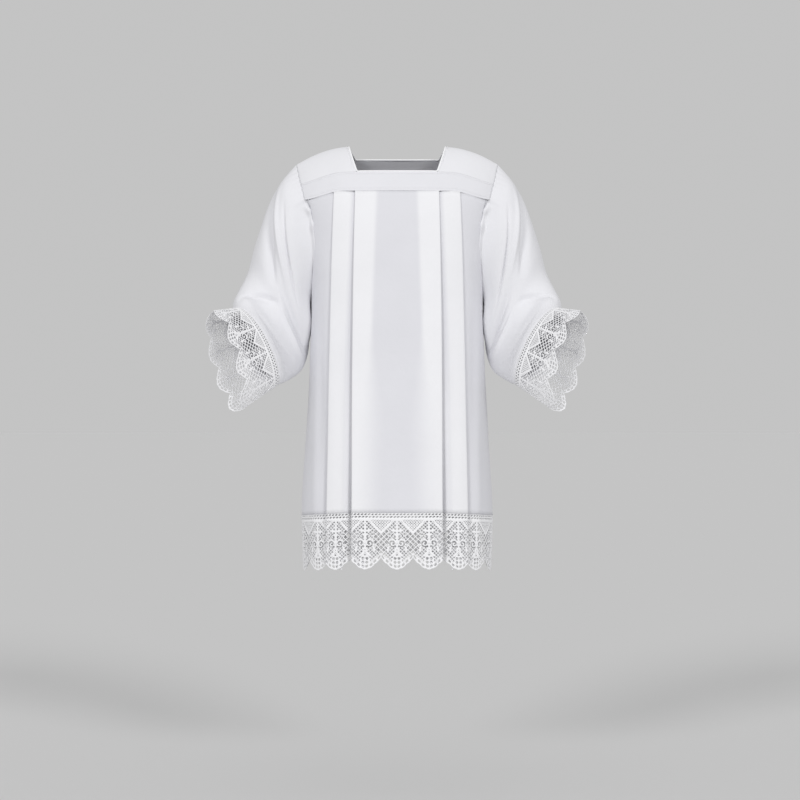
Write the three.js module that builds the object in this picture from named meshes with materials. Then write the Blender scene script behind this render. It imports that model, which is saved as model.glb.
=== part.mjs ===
// A white surplice as worn: square-necked yoke, pleated front and back, wide sleeves, lace edges.
// Millimetres, +Z up, the front faces -Y. The origin is midway between the shoulder ridges.
import * as THREE from 'three'

// Cloth wall, the gap left at a seam, and the wider gaps where two curved edges meet: below the
// yoke, above the cuff lace, and round the armhole, where it grows towards the underarm
const CLOTH = 1.2
const SEAM = 0.3
const YOKE_SEAM = 0.8
const CUFF_SEAM = 0.8
const ARM_SEAM = 1.2
const UNDERARM_EXTRA = 0.8

// Colours and finish of cotton cloth, the bright binding and cotton lace
const COTTON = { color: 0xf1f1f4, roughness: 0.85, metalness: 0 }
const PIPING = { color: 0xfafafc, roughness: 0.7, metalness: 0 }
const LACE = { color: 0xfbfbfb, roughness: 0.9, metalness: 0 }

// Yoke: ridge of the shoulders, seam with the pleated panels, and the square neck
const RIDGE_Z = 3
const RIDGE_Y = 5
const RIDGE_DROP = 44
const NECK_HALF_WIDTH = 120
const YOKE_SEAM_Z = -114
const YOKE_CORNER_DROP = 18
const YOKE_HEAD_X = 247
const YOKE_CORNER_X = 224.5
const NECK_FRONT = { edge: 0.737, narrowing: 22 }
const NECK_BACK = { edge: -0.45, narrowing: 16 }
const YOKE_STEP = { from: 80, to: 175 }

// The ridge falls away as this power of the distance, and the seam is level out to this distance
const RIDGE_POWER = 1.8
const LEVEL_SEAM_X = 130

// Section of a yoke over the shoulder: this share is round and the rest is a straight slope
const YOKE_ROUND_SHARE = 0.5
const BAND_STEPS = 28
const SHOULDER_STEPS = 5
const BAND_GAP = 0.004

// Neck binding: a round cord, how far inside the bands' edges it runs, and the part of each
// straight edge that its straight stretch covers
const BINDING_RADIUS = 1.7
const BINDING_SIDES = 8
const BINDING_INSET = 0.03
const BINDING_STRAIGHT = 0.6
const BINDING_SIDE_STEPS = 8
const BINDING_EDGE_STEPS = 3

// Plan of the body at each height: half width and half depth of the middle layer of cloth,
// squareness of its curve, distance between the layers of a pleat, and how far round the
// front panel reaches, as an angle from straight ahead.
const BODY = [
  { z: -114, width: 250, depth: 118, square: 3.0, layer: 1.6, reach: 71.5 },
  { z: -180, width: 232, depth: 129, square: 2.9, layer: 1.9, reach: 68.5 },
  { z: -230, width: 226, depth: 133, square: 2.8, layer: 2.2, reach: 69 },
  { z: -285, width: 220, depth: 136, square: 2.8, layer: 2.4, reach: 73.5 },
  { z: -330, width: 217, depth: 138, square: 2.7, layer: 2.5, reach: 81 },
  { z: -350, width: 216, depth: 139, square: 2.7, layer: 2.6, reach: 90 },
  { z: -510, width: 219, depth: 144, square: 2.6, layer: 3.0, reach: 90 },
  { z: -715, width: 230, depth: 153, square: 2.5, layer: 3.4, reach: 90 },
  { z: -890, width: 241, depth: 160, square: 2.4, layer: 4.0, reach: 90 },
  { z: -1040, width: 237, depth: 160, square: 2.4, layer: 4.0, reach: 90 }
]

// Two knife pleats each side of the centre at each height: how far out the folded edge lies
// and how wide the cloth tucked under it is.
const PLEATS = [
  { z: -114, inner: 100.5, innerUnder: 52, outer: 151, outerUnder: 44 },
  { z: -300, inner: 105, innerUnder: 50, outer: 157, outerUnder: 44 },
  { z: -520, inner: 110, innerUnder: 46, outer: 162, outerUnder: 42 },
  { z: -890, inner: 112, innerUnder: 33, outer: 168, outerUnder: 40 },
  { z: -1040, inner: 113, innerUnder: 32, outer: 170, outerUnder: 39 }
]

// Heights of the rows of a panel below the yoke
const ARMHOLE_ROWS = [-180, -230, -285, -330, -350]
const PANEL_ROWS = [...ARMHOLE_ROWS, -510, -715]

// Lace: its depth at a tip and at a notch, the width of one scallop, and the hem it hangs from
const HEM_Z = -899
const HEM_RISE = 12
const LACE_TIP = 134
const LACE_NOTCH = 107
const SCALLOP = 75
const SCALLOP_POWER = 1.05
const CUFF_SCALLOPS = 4

// Stations across one scallop from notch to notch, with the depth of each row line there as a
// share of the lace depth at that station. Two eyelets, one above the other, go in each cell
// that is 9 mm wide, and a diamond goes in the 12 mm across a notch.
const SCALLOP_STATIONS = [
  { at: 0, lines: [0.58, 0.71, 0.85] },
  { at: 6, lines: [0.54, 0.66, 0.81] },
  { at: 28.5, lines: [0.78, 0.85, 0.92] },
  { at: 37.5, lines: [0.77, 0.84, 0.91] },
  { at: 46.5, lines: [0.78, 0.85, 0.92] },
  { at: 69, lines: [0.54, 0.66, 0.81] }
]
const EYELET = { halfWidth: 3, halfHeight: 3, starts: [28.5, 37.5], cell: 9 }
const DIAMOND = { halfWidth: 3.6, halfHeight: 5, start: 69, cell: 12 }

// Rings of the right sleeve from the upper arm to the lace edge: the top and the bottom of each
// ring, half its width, how much wider it is towards the top, and how far its width has turned
// from straight ahead to the way across the forearm.
const SLEEVE = [
  { top: [-279, 5, -78], bottom: [-216, 0, -400], half: 88, egg: 0.12, turn: 0 },
  { top: [-309, 6, -127], bottom: [-217, -1, -450], half: 86, egg: 0.18, turn: 0 },
  { top: [-331, 8, -186], bottom: [-220, -4, -495], half: 80, egg: 0.22, turn: 0.05 },
  { top: [-350, 8, -245], bottom: [-226, -10, -527], half: 74, egg: 0.25, turn: 0.15 },
  { top: [-365, 2, -304], bottom: [-237, -26, -548], half: 68, egg: 0.25, turn: 0.35 },
  { top: [-383, -22, -346], bottom: [-255, -54, -563], half: 62, egg: 0.2, turn: 0.6 },
  { top: [-391, -65, -371], bottom: [-273, -94, -575], half: 55, egg: 0.15, turn: 0.85 },
  { top: [-392, -110, -399], bottom: [-287, -140, -583], half: 49, egg: 0.1, turn: 1 },
  { top: [-444, -200, -410], bottom: [-375, -235, -646], half: 47, egg: 0.05, turn: 1 }
]

// Large folds of a sleeve: the ring and the share of the way down it where each is deepest, how
// far the share moves per ring, its length in rings, its width as a share, and its depth in mm,
// less than 0 where it stands out. The last column says whether it is on the front.
const SLEEVE_FOLDS = [
  { ring: 1.8, share: 0.2, lean: 0.3, length: 0.7, width: 0.07, depth: 5, front: true },
  { ring: 1.2, share: 0.45, lean: 0.24, length: 0.9, width: 0.08, depth: 6, front: true },
  { ring: 3.5, share: 0.39, lean: -0.11, length: 1.8, width: 0.08, depth: 8, front: true },
  { ring: 4.6, share: 0.62, lean: -0.08, length: 1.6, width: 0.09, depth: -5, front: true },
  { ring: 1.6, share: 0.35, lean: 0.2, length: 1, width: 0.09, depth: 6, front: false },
  { ring: 3.4, share: 0.55, lean: -0.1, length: 1.6, width: 0.09, depth: 7, front: false }
]
const ROWS_PER_RING = 2
const FOREARM_ACROSS = new THREE.Vector3(0.568, -0.701, 0.427)
const STRAIGHT_AHEAD = new THREE.Vector3(0, -1, 0)

const group = new THREE.Group()

// Value of each column of a table at a height, on straight lines between its rows
function tableAt(table, z) {
  const last = table.length - 1
  let row = 0
  while (row < last - 1 && z < table[row + 1].z) row += 1
  const above = table[row]
  const below = table[row + 1]
  const share = THREE.MathUtils.clamp((above.z - z) / (above.z - below.z), 0, 1)
  const value = {}
  for (const key of Object.keys(above)) value[key] = THREE.MathUtils.lerp(above[key], below[key], share)
  return value
}

// A quarter of the body's plan at one height as a polyline with its length so far:
// distance from the middle at each angle is that of a squared ellipse.
const PLAN_STEPS = 90
const planCache = new Map()
function planAt(z) {
  const known = planCache.get(z)
  if (known) return known
  const body = tableAt(BODY, z)
  const points = []
  let length = 0
  for (let step = 0; step <= PLAN_STEPS; step += 1) {
    const angle = (step / PLAN_STEPS) * Math.PI / 2
    const across = Math.pow(Math.sin(angle) / body.width, body.square)
    const ahead = Math.pow(Math.cos(angle) / body.depth, body.square)
    const radius = Math.pow(across + ahead, -1 / body.square)
    const x = radius * Math.sin(angle)
    const y = -radius * Math.cos(angle)
    if (step > 0) length += Math.hypot(x - points[step - 1].x, y - points[step - 1].y)
    points.push({ x, y, length, angle })
  }
  const plan = { points, body }
  planCache.set(z, plan)
  return plan
}

// Length along a plan at which one of its columns reaches a value
function lengthWhere(plan, column, value) {
  const points = plan.points
  let step = 1
  while (step < PLAN_STEPS && points[step][column] < value) step += 1
  const before = points[step - 1]
  const after = points[step]
  const share = (value - before[column]) / (after[column] - before[column])
  return THREE.MathUtils.lerp(before.length, after.length, share)
}

// Point and outward normal at a length along a plan, moved out by an offset
function planPoint(plan, length, offset) {
  const points = plan.points
  let step = 1
  while (step < PLAN_STEPS && points[step].length < length) step += 1
  const before = points[step - 1]
  const after = points[step]
  const span = after.length - before.length
  const share = (length - before.length) / span
  const tx = (after.x - before.x) / span
  const ty = (after.y - before.y) / span
  return {
    x: THREE.MathUtils.lerp(before.x, after.x, share) + ty * offset,
    y: THREE.MathUtils.lerp(before.y, after.y, share) - tx * offset,
    tangent: [tx, ty],
    normal: [ty, -tx]
  }
}

// Half of a pleated section at one height, as nine stretches from the centre to its side edge:
// face, fold, underlay, fold, face, fold, underlay, fold, face. Each stretch gives its length.
function stretchesAt(z) {
  const plan = planAt(z)
  const pleats = tableAt(PLEATS, z)
  const layer = plan.body.layer
  const inner = lengthWhere(plan, 'x', pleats.inner)
  const outer = lengthWhere(plan, 'x', pleats.outer)
  const end = lengthWhere(plan, 'angle', THREE.MathUtils.degToRad(plan.body.reach)) - SEAM / 2
  const stretches = []
  const face = (from, to, offset, side) => stretches.push({ from, to, offset, side })
  const fold = (at, offset, way) => stretches.push({ at, offset, way })
  face(0, inner, 2 * layer, 1)
  fold(inner, 1.5 * layer, 1)
  face(inner, inner - pleats.innerUnder, layer, -1)
  fold(inner - pleats.innerUnder, 0.5 * layer, -1)
  face(inner - pleats.innerUnder, outer, 0, 1)
  fold(outer, -0.5 * layer, 1)
  face(outer, outer - pleats.outerUnder, -layer, -1)
  fold(outer - pleats.outerUnder, -1.5 * layer, -1)
  face(outer - pleats.outerUnder, end, -2 * layer, 1)
  for (const part of stretches) {
    part.length = part.way ? Math.PI * layer / 2 : Math.abs(part.to - part.from)
  }
  return { plan, layer, stretches }
}

// Point of the front panel's or its lace's cloth: side is -1 or 1, index and share give the
// stretch and the place along it. A fold is a half circle between two layers.
function bodyPoint(side, index, share, z, front) {
  const { plan, layer, stretches } = stretchesAt(z)
  const part = stretches[index]
  let spot
  let along
  let out
  if (part.way) {
    const turn = share * Math.PI
    const radius = layer / 2
    const length = part.at + part.way * radius * Math.sin(turn)
    spot = planPoint(plan, length, part.offset + radius * Math.cos(turn))
    along = Math.sin(turn)
    out = part.way * Math.cos(turn)
  } else {
    spot = planPoint(plan, THREE.MathUtils.lerp(part.from, part.to, share), part.offset)
    along = 0
    out = part.side
  }
  const nx = spot.tangent[0] * along + spot.normal[0] * out
  const ny = spot.tangent[1] * along + spot.normal[1] * out
  const facing = front ? 1 : -1
  return {
    point: new THREE.Vector3(side * spot.x, facing * spot.y, z),
    normal: new THREE.Vector3(side * nx, facing * ny, 0)
  }
}

// Height of the top of the lace: it rises a little at the centre front and centre back
function hemHeight(y) {
  const share = Math.min(1, Math.abs(y) / BODY[BODY.length - 2].depth)
  return HEM_Z + HEM_RISE * share * share
}

// Shoulder ridge and yoke seam heights at a distance from the centre
function ridgeHeight(x) {
  const span = YOKE_HEAD_X - NECK_HALF_WIDTH
  const share = Math.max(0, Math.abs(x) - NECK_HALF_WIDTH) / span
  return RIDGE_Z - RIDGE_DROP * Math.pow(share, RIDGE_POWER)
}

function yokeSeamHeight(x) {
  const share = THREE.MathUtils.smoothstep(Math.abs(x), LEVEL_SEAM_X, YOKE_CORNER_X)
  return YOKE_SEAM_Z - YOKE_CORNER_DROP * share
}

// Yoke surface: over runs from -1 at the back seam through 0 at the ridge to 1 at the front seam.
// Its lower edge steps in with the pleats below it.
function yokePoint(x, over) {
  const body = BODY[0]
  const steppedIn = THREE.MathUtils.smoothstep(Math.abs(x), YOKE_STEP.from, YOKE_STEP.to)
  const proud = 2 * body.layer * (1 - 2 * steppedIn)
  const rounded = Math.pow(1 - Math.pow(Math.abs(x) / body.width, body.square), 1 / body.square)
  const seamY = body.depth * rounded + proud
  const turn = Math.abs(over) * Math.PI / 2
  const fall = 1 - Math.cos(turn)
  const reach = THREE.MathUtils.lerp(fall, Math.sin(turn), YOKE_ROUND_SHARE)
  const sideY = over > 0 ? -seamY : seamY
  const y = RIDGE_Y + (sideY - RIDGE_Y) * reach
  const z = ridgeHeight(x) + (yokeSeamHeight(x) - ridgeHeight(x)) * fall
  return new THREE.Vector3(x, y, z)
}

// Distance of the neck's side edge and of the sleeve head from the centre
function neckSide(over) {
  const edge = over > 0 ? NECK_FRONT : NECK_BACK
  const share = over / edge.edge
  return NECK_HALF_WIDTH - edge.narrowing * share * share
}

function sleeveHead(over) {
  return YOKE_HEAD_X - (YOKE_HEAD_X - YOKE_CORNER_X) * over * over
}

// Normals of a grid of points from the steps between neighbours, turned to the outside
function gridNormals(rows, closed, outside) {
  return rows.map((row, i) => row.map((point, j) => {
    const up = rows[Math.max(i - 1, 0)][j]
    const down = rows[Math.min(i + 1, rows.length - 1)][j]
    const count = row.length
    const left = row[closed ? (j + count - 1) % count : Math.max(j - 1, 0)]
    const right = row[closed ? (j + 1) % count : Math.min(j + 1, count - 1)]
    const normal = new THREE.Vector3().subVectors(right, left)
    normal.cross(new THREE.Vector3().subVectors(down, up)).normalize()
    return { point, normal: normal.multiplyScalar(outside) }
  }))
}

// A cloth wall from a grid of points with normals. A hole is a span of columns in one row of
// cells, with the corners of the gap in the same flat coordinates as flat(row, column).
function clothWall(rows, { closed = false, holes = [], flat = null, surface = null } = {}) {
  const columns = rows[0].length
  const positions = []
  const triangles = []
  const half = CLOTH / 2
  const addPair = ({ point, normal }) => {
    const outer = positions.length / 3
    positions.push(...point.clone().addScaledVector(normal, half).toArray())
    positions.push(...point.clone().addScaledVector(normal, -half).toArray())
    return outer
  }
  const index = rows.map((row) => row.map(addPair))
  const corner = new THREE.Vector3().subVectors(rows[0][1].point, rows[0][0].point)
  corner.cross(new THREE.Vector3().subVectors(rows[1][0].point, rows[0][0].point))
  const flip = corner.dot(rows[0][0].normal) < 0
  const addTriangle = (a, b, c) => triangles.push(...(flip ? [a, c, b] : [a, b, c]))
  const addFace = (a, b, c) => {
    addTriangle(a, b, c)
    addTriangle(a + 1, c + 1, b + 1)
  }
  const addEdge = (a, b) => {
    addTriangle(a, b + 1, b)
    addTriangle(a, a + 1, b + 1)
  }
  const cells = closed ? columns : columns - 1
  const inHole = new Set()
  for (const hole of holes) {
    for (let j = hole.from; j < hole.to; j += 1) inHole.add(hole.row * columns + j)
    const ring = []
    for (let j = hole.from; j <= hole.to; j += 1) ring.push([hole.row, j])
    for (let j = hole.to; j >= hole.from; j -= 1) ring.push([hole.row + 1, j])
    const outline = ring.map(([i, j]) => new THREE.Vector2(...flat(i, j)))
    const gap = hole.corners.map(([u, v]) => new THREE.Vector2(u, v))
    const around = ring.map(([i, j]) => index[i][j])
    const inside = hole.corners.map(([u, v]) => addPair(surface(u, v)))
    const numbers = [...around, ...inside]
    const places = [...outline, ...gap]
    for (const [a, b, c] of THREE.ShapeUtils.triangulateShape(outline, [gap])) {
      const ab = places[b].clone().sub(places[a])
      const ac = places[c].clone().sub(places[a])
      const order = ab.cross(ac) > 0 ? [a, b, c] : [a, c, b]
      addFace(...order.map((place) => numbers[place]))
    }
    for (let k = 0; k < inside.length; k += 1) addEdge(inside[(k + 1) % inside.length], inside[k])
  }
  for (let i = 0; i < rows.length - 1; i += 1) {
    for (let j = 0; j < cells; j += 1) {
      if (inHole.has(i * columns + j)) continue
      const next = (j + 1) % columns
      addFace(index[i][j], index[i][next], index[i + 1][next])
      addFace(index[i][j], index[i + 1][next], index[i + 1][j])
    }
  }
  const bottom = rows.length - 1
  for (let j = 0; j < cells; j += 1) {
    const next = (j + 1) % columns
    addEdge(index[0][j], index[0][next])
    addEdge(index[bottom][next], index[bottom][j])
  }
  if (!closed) {
    for (let i = 0; i < bottom; i += 1) {
      addEdge(index[i + 1][0], index[i][0])
      addEdge(index[i][columns - 1], index[i + 1][columns - 1])
    }
  }
  const geometry = new THREE.BufferGeometry()
  geometry.setAttribute('position', new THREE.Float32BufferAttribute(positions, 3))
  geometry.setIndex(triangles)
  return geometry
}

function addPiece(name, geometry, finish) {
  const mesh = new THREE.Mesh(geometry, new THREE.MeshStandardMaterial(finish))
  mesh.name = name
  group.add(mesh)
}

// Evenly spaced numbers from one value to another
function spread(from, to, steps) {
  return Array.from({ length: steps + 1 }, (_, k) => THREE.MathUtils.lerp(from, to, k / steps))
}

// Rows of the yoke from the ridge to a neck edge and on to the seam with the panel. The shoulder
// pieces, the bands and the armholes share them.
const FRONT_ROWS = { shoulder: spread(0, NECK_FRONT.edge, 4), band: spread(NECK_FRONT.edge, 1, 2) }
const BACK_ROWS = { shoulder: spread(0, NECK_BACK.edge, 3), band: spread(NECK_BACK.edge, -1, 3) }

// Yoke bands, between a neck edge and the seam with the panel
function yokeBand(overs) {
  const facing = Math.sign(overs[0])
  const rows = overs.map((over) => {
    const reach = sleeveHead(over) - SEAM
    return spread(-reach, reach, BAND_STEPS).map((x) => yokePoint(x, over))
  })
  return clothWall(gridNormals(rows, false, facing))
}

// Shoulder pieces, from the back band over the ridge to the front band
function shoulderPiece(side) {
  const overs = [...BACK_ROWS.shoulder.slice(1).reverse(), ...FRONT_ROWS.shoulder]
  overs[0] += BAND_GAP
  overs[overs.length - 1] -= BAND_GAP
  const rows = overs.map((over) => (
    spread(neckSide(over), sleeveHead(over) - SEAM, SHOULDER_STEPS).map((x) => yokePoint(side * x, over))
  ))
  return clothWall(gridNormals(rows, false, -side))
}

addPiece('front_yoke', yokeBand(FRONT_ROWS.band), COTTON)
addPiece('back_yoke', yokeBand(BACK_ROWS.band), COTTON)
addPiece('shoulder_right', shoulderPiece(-1), COTTON)
addPiece('shoulder_left', shoulderPiece(1), COTTON)

// Neck binding: a round cord just inside the neck edge
function neckBinding() {
  const path = []
  const inset = BINDING_RADIUS + CLOTH / 2 + SEAM
  const addSpot = (x, over) => {
    const point = yokePoint(x, over)
    const shift = new THREE.Vector3(-Math.sign(x) * inset, 0, 0)
    path.push(point.add(shift))
  }
  const addEdge = (reach, over) => {
    for (const x of spread(-reach, reach, BINDING_EDGE_STEPS)) path.push(yokePoint(x, over))
  }
  const frontEdge = NECK_FRONT.edge - BINDING_INSET
  const backEdge = NECK_BACK.edge + BINDING_INSET
  for (const over of spread(backEdge, frontEdge, BINDING_SIDE_STEPS)) addSpot(-neckSide(over), over)
  addEdge(BINDING_STRAIGHT * neckSide(frontEdge), frontEdge)
  for (const over of spread(frontEdge, backEdge, BINDING_SIDE_STEPS)) addSpot(neckSide(over), over)
  addEdge(-BINDING_STRAIGHT * neckSide(backEdge), backEdge)
  const positions = []
  const triangles = []
  const count = path.length
  path.forEach((point, k) => {
    const ahead = new THREE.Vector3().subVectors(path[(k + 1) % count], path[(k + count - 1) % count])
    ahead.normalize()
    const sideways = new THREE.Vector3(0, 0, 1).cross(ahead).normalize()
    const upwards = new THREE.Vector3().crossVectors(ahead, sideways)
    for (let s = 0; s < BINDING_SIDES; s += 1) {
      const angle = 2 * Math.PI * s / BINDING_SIDES
      const spot = point.clone()
      spot.addScaledVector(sideways, BINDING_RADIUS * Math.cos(angle))
      spot.addScaledVector(upwards, BINDING_RADIUS * Math.sin(angle))
      positions.push(...spot.toArray())
      const here = k * BINDING_SIDES + s
      const turn = k * BINDING_SIDES + (s + 1) % BINDING_SIDES
      const on = ((k + 1) % count) * BINDING_SIDES
      const onHere = on + s
      const onTurn = on + (s + 1) % BINDING_SIDES
      triangles.push(here, turn, onTurn, here, onTurn, onHere)
    }
  })
  const geometry = new THREE.BufferGeometry()
  geometry.setAttribute('position', new THREE.Float32BufferAttribute(positions, 3))
  geometry.setIndex(triangles)
  return geometry
}
addPiece('neck_binding', neckBinding(), PIPING)

// Columns of a pleated panel: for each stretch from the centre out, the places along it
const STRETCH_STEPS = [3, 2, 1, 2, 2, 2, 1, 2, 4]
function halfColumns() {
  const columns = []
  STRETCH_STEPS.forEach((steps, index) => {
    for (let k = index === 0 ? 0 : 1; k <= steps; k += 1) columns.push({ index, share: k / steps })
  })
  return columns
}

// Both halves of a section, from the right side edge through the centre to the left one
function fullColumns() {
  const half = halfColumns()
  const mirrored = half.slice(1).reverse().map((column) => ({ ...column, side: -1 }))
  return [...mirrored, ...half.map((column) => ({ ...column, side: 1 }))]
}

function panel(front) {
  const columns = fullColumns()
  const topRow = columns.map(({ side, index, share }) => {
    const guess = bodyPoint(side, index, share, YOKE_SEAM_Z, front).point
    return bodyPoint(side, index, share, yokeSeamHeight(guess.x) - YOKE_SEAM, front)
  })
  const middle = PANEL_ROWS.map((z) => (
    columns.map(({ side, index, share }) => bodyPoint(side, index, share, z, front))
  ))
  const bottomRow = columns.map(({ side, index, share }) => {
    const guess = bodyPoint(side, index, share, HEM_Z, front).point
    return bodyPoint(side, index, share, hemHeight(guess.y) + SEAM, front)
  })
  return [topRow, ...middle, bottomRow]
}
const frontPanel = panel(true)
const backPanel = panel(false)
addPiece('front_panel', clothWall(frontPanel), COTTON)
addPiece('back_panel', clothWall(backPanel), COTTON)

// Depth of the lace at a distance from the nearest notch: a rounded scallop
function laceDepth(distance) {
  const share = Math.min(1, distance / (SCALLOP / 2))
  return LACE_NOTCH + (LACE_TIP - LACE_NOTCH) * Math.pow(Math.sin(share * Math.PI / 2), SCALLOP_POWER)
}

// Row lines of the lace at a place along it: depths of the three lines and of the edge
function laceLines(place) {
  const within = ((place % SCALLOP) + SCALLOP) % SCALLOP
  const stations = [...SCALLOP_STATIONS, { at: SCALLOP, lines: SCALLOP_STATIONS[0].lines }]
  let k = 0
  while (k < stations.length - 2 && within > stations[k + 1].at) k += 1
  const share = (within - stations[k].at) / (stations[k + 1].at - stations[k].at)
  const depth = laceDepth(Math.min(within, SCALLOP - within))
  const lines = stations[k].lines.map((line, n) => THREE.MathUtils.lerp(line, stations[k + 1].lines[n], share))
  return [0, ...lines.map((line) => line * depth), depth]
}

const SAME_PLACE = 0.01

// A strip of lace: places are the columns, each with its distance along the lace and whether it
// lies in a sharp fold; surface gives the cloth at a distance along and a depth.
function laceStrip(places, surface) {
  const lines = places.map(({ along }) => laceLines(along))
  const rows = lines[0].map((_, row) => places.map(({ along }, j) => surface(along, lines[j][row])))
  const holes = []
  const near = (value, target) => Math.abs(value - target) < SAME_PLACE
  const addHole = (row, from, to, shape) => {
    const corners = [lines[from][row], lines[to][row], lines[from][row + 1], lines[to][row + 1]]
    const middle = corners.reduce((sum, depth) => sum + depth, 0) / 4
    const centre = (places[from].along + places[to].along) / 2
    holes.push({
      row,
      from,
      to,
      corners: [
        [centre, middle - shape.halfHeight],
        [centre + shape.halfWidth, middle],
        [centre, middle + shape.halfHeight],
        [centre - shape.halfWidth, middle]
      ]
    })
  }
  places.forEach(({ along, bend }, j) => {
    const within = ((along % SCALLOP) + SCALLOP) % SCALLOP
    const next = places[j + 1]
    if (!next || bend || next.bend) return
    const width = next.along - along
    if (EYELET.starts.some((start) => near(within, start)) && near(width, EYELET.cell)) {
      addHole(1, j, j + 1, EYELET)
      addHole(2, j, j + 1, EYELET)
    }
    const second = places[j + 2]
    const spans = second && !second.bend && near(second.along - along, DIAMOND.cell)
    if (near(within, DIAMOND.start) && spans) addHole(1, j, j + 2, DIAMOND)
  })
  const flat = (row, column) => [places[column].along, lines[column][row]]
  return clothWall(rows, { holes, flat, surface })
}

// Distances of every scallop station that lies inside a length of lace
function stationsBetween(from, to, margin) {
  const found = []
  const first = Math.floor(from / SCALLOP)
  const last = Math.ceil(to / SCALLOP)
  for (let repeat = first; repeat <= last; repeat += 1) {
    for (const station of SCALLOP_STATIONS) {
      const along = repeat * SCALLOP + station.at
      if (along > from + margin && along < to - margin) found.push(along)
    }
  }
  return found
}

// Hem lace: it follows the pleats. Distance along it is the cloth's own length at the hem,
// counted from the middle of the centre scallop.
function hemLace(front) {
  const { stretches } = stretchesAt(HEM_Z)
  const starts = []
  let length = 0
  for (const part of stretches) {
    starts.push(length)
    length += part.length
  }
  const half = SCALLOP / 2
  const locate = (along) => {
    const distance = Math.min(Math.abs(along - half), length)
    let index = 0
    while (index < starts.length - 1 && distance > starts[index + 1]) index += 1
    return { side: along < half ? -1 : 1, index, share: (distance - starts[index]) / stretches[index].length }
  }
  const surface = (along, depth) => {
    const { side, index, share } = locate(along)
    const guess = bodyPoint(side, index, share, HEM_Z, front).point
    return bodyPoint(side, index, share, hemHeight(guess.y) - SEAM - depth, front)
  }
  const bends = []
  stretches.forEach((part, index) => {
    if (!part.way) return
    for (const share of [0, 0.5, 1]) {
      const distance = starts[index] + share * part.length
      bends.push({ along: half + distance, bend: true })
      bends.push({ along: half - distance, bend: true })
    }
  })
  const ends = [half - length, half + length]
  const free = stationsBetween(...ends, 1)
  const clear = free.filter((along) => bends.every((bend) => Math.abs(bend.along - along) > 1))
  const places = [...ends, ...clear].map((along) => ({ along, bend: false }))
  const all = [...places, ...bends].sort((one, other) => one.along - other.along)
  return laceStrip(all, surface)
}
addPiece('hem_lace_front', hemLace(true), LACE)
addPiece('hem_lace_back', hemLace(false), LACE)

// Armhole of the right side, front and back: down the yoke's end and the panel's side edge
function armholeEdge(front) {
  const rows = front ? FRONT_ROWS : BACK_ROWS
  const overs = [...rows.shoulder, ...rows.band.slice(1)]
  const yokePart = overs.map((over) => yokePoint(-sleeveHead(over), over))
  const panelPart = (front ? frontPanel : backPanel).slice(1, 1 + ARMHOLE_ROWS.length)
  return [...yokePart, ...panelPart.map((row) => row[0].point.clone())]
}

// Tops and bottoms of the sleeve's rings run on smooth curves from ring to ring
const topCurve = new THREE.CatmullRomCurve3(SLEEVE.map((ring) => new THREE.Vector3(...ring.top)))
const bottomCurve = new THREE.CatmullRomCurve3(SLEEVE.map((ring) => new THREE.Vector3(...ring.bottom)))

// Depth of the folds at a place on the sleeve: each is a rounded trough that fades at its ends
function foldDepth(position, share, front) {
  let depth = 0
  for (const fold of SLEEVE_FOLDS) {
    if (fold.front !== front) continue
    const along = (position - fold.ring) / fold.length
    const beside = (share - fold.share - fold.lean * (position - fold.ring)) / fold.width
    depth += fold.depth * Math.exp(-along * along - beside * beside)
  }
  return depth
}

// A point of the sleeve: position counts rings, and share is how far down the ring it lies, on
// the front or the back
function sleevePoint(position, share, front) {
  const last = SLEEVE.length - 1
  const before = SLEEVE[Math.min(Math.floor(position), last - 1)]
  const after = SLEEVE[Math.min(Math.floor(position), last - 1) + 1]
  const between = position - Math.min(Math.floor(position), last - 1)
  const mix = (key) => THREE.MathUtils.lerp(before[key], after[key], between)
  const top = topCurve.getPoint(position / last)
  const drop = bottomCurve.getPoint(position / last).sub(top)
  const across = STRAIGHT_AHEAD.clone().lerp(FOREARM_ACROSS, mix('turn')).normalize()
  const turn = share * Math.PI
  const width = mix('half') * Math.sin(turn) * (1 + mix('egg') * Math.cos(turn))
  const sideways = (width - foldDepth(position, share, front) * Math.sin(turn)) * (front ? 1 : -1)
  return top.addScaledVector(drop, (1 - Math.cos(turn)) / 2).addScaledVector(across, sideways)
}

// Places down the armhole, as shares of its length, which every ring of the sleeve keeps
function armholeShares(edge) {
  const lengths = [0]
  for (let k = 1; k < edge.length; k += 1) lengths.push(lengths[k - 1] + edge[k].distanceTo(edge[k - 1]))
  return lengths.map((length) => length / lengths[lengths.length - 1])
}

// One sleeve as its front half and its back half, which meet along its top and its bottom
const CUFF_RING = SLEEVE.length - 2
function sleeveHalves(side) {
  const frontEdge = armholeEdge(true)
  const backEdge = armholeEdge(false)
  const shares = armholeShares(frontEdge)
  const last = shares.length - 1
  const around = [
    ...shares.map((share, k) => ({ share, k, front: true })),
    ...shares.slice(1, last).map((share, k) => ({ share, k: k + 1, front: false })).reverse()
  ]
  const head = around.map(({ share, k, front }) => {
    const point = (front ? frontEdge : backEdge)[k].clone()
    if (k === last) point.y = 0
    point.x -= ARM_SEAM + UNDERARM_EXTRA * share
    return point
  })
  const rings = spread(0, CUFF_RING, ROWS_PER_RING * CUFF_RING).map((position) => (
    around.map(({ share, front }) => sleevePoint(position, share, front))
  ))
  const rows = [head, ...rings]
  if (side > 0) rows.forEach((row) => row.forEach((point) => point.setX(-point.x)))
  const whole = gridNormals(rows, true, side)
  const frontHalf = whole.map((row) => halfRow(row.slice(0, last + 1)))
  const backHalf = whole.map((row) => halfRow([...row.slice(last), row[0]]))
  return [clothWall(frontHalf), clothWall(backHalf)]
}

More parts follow.
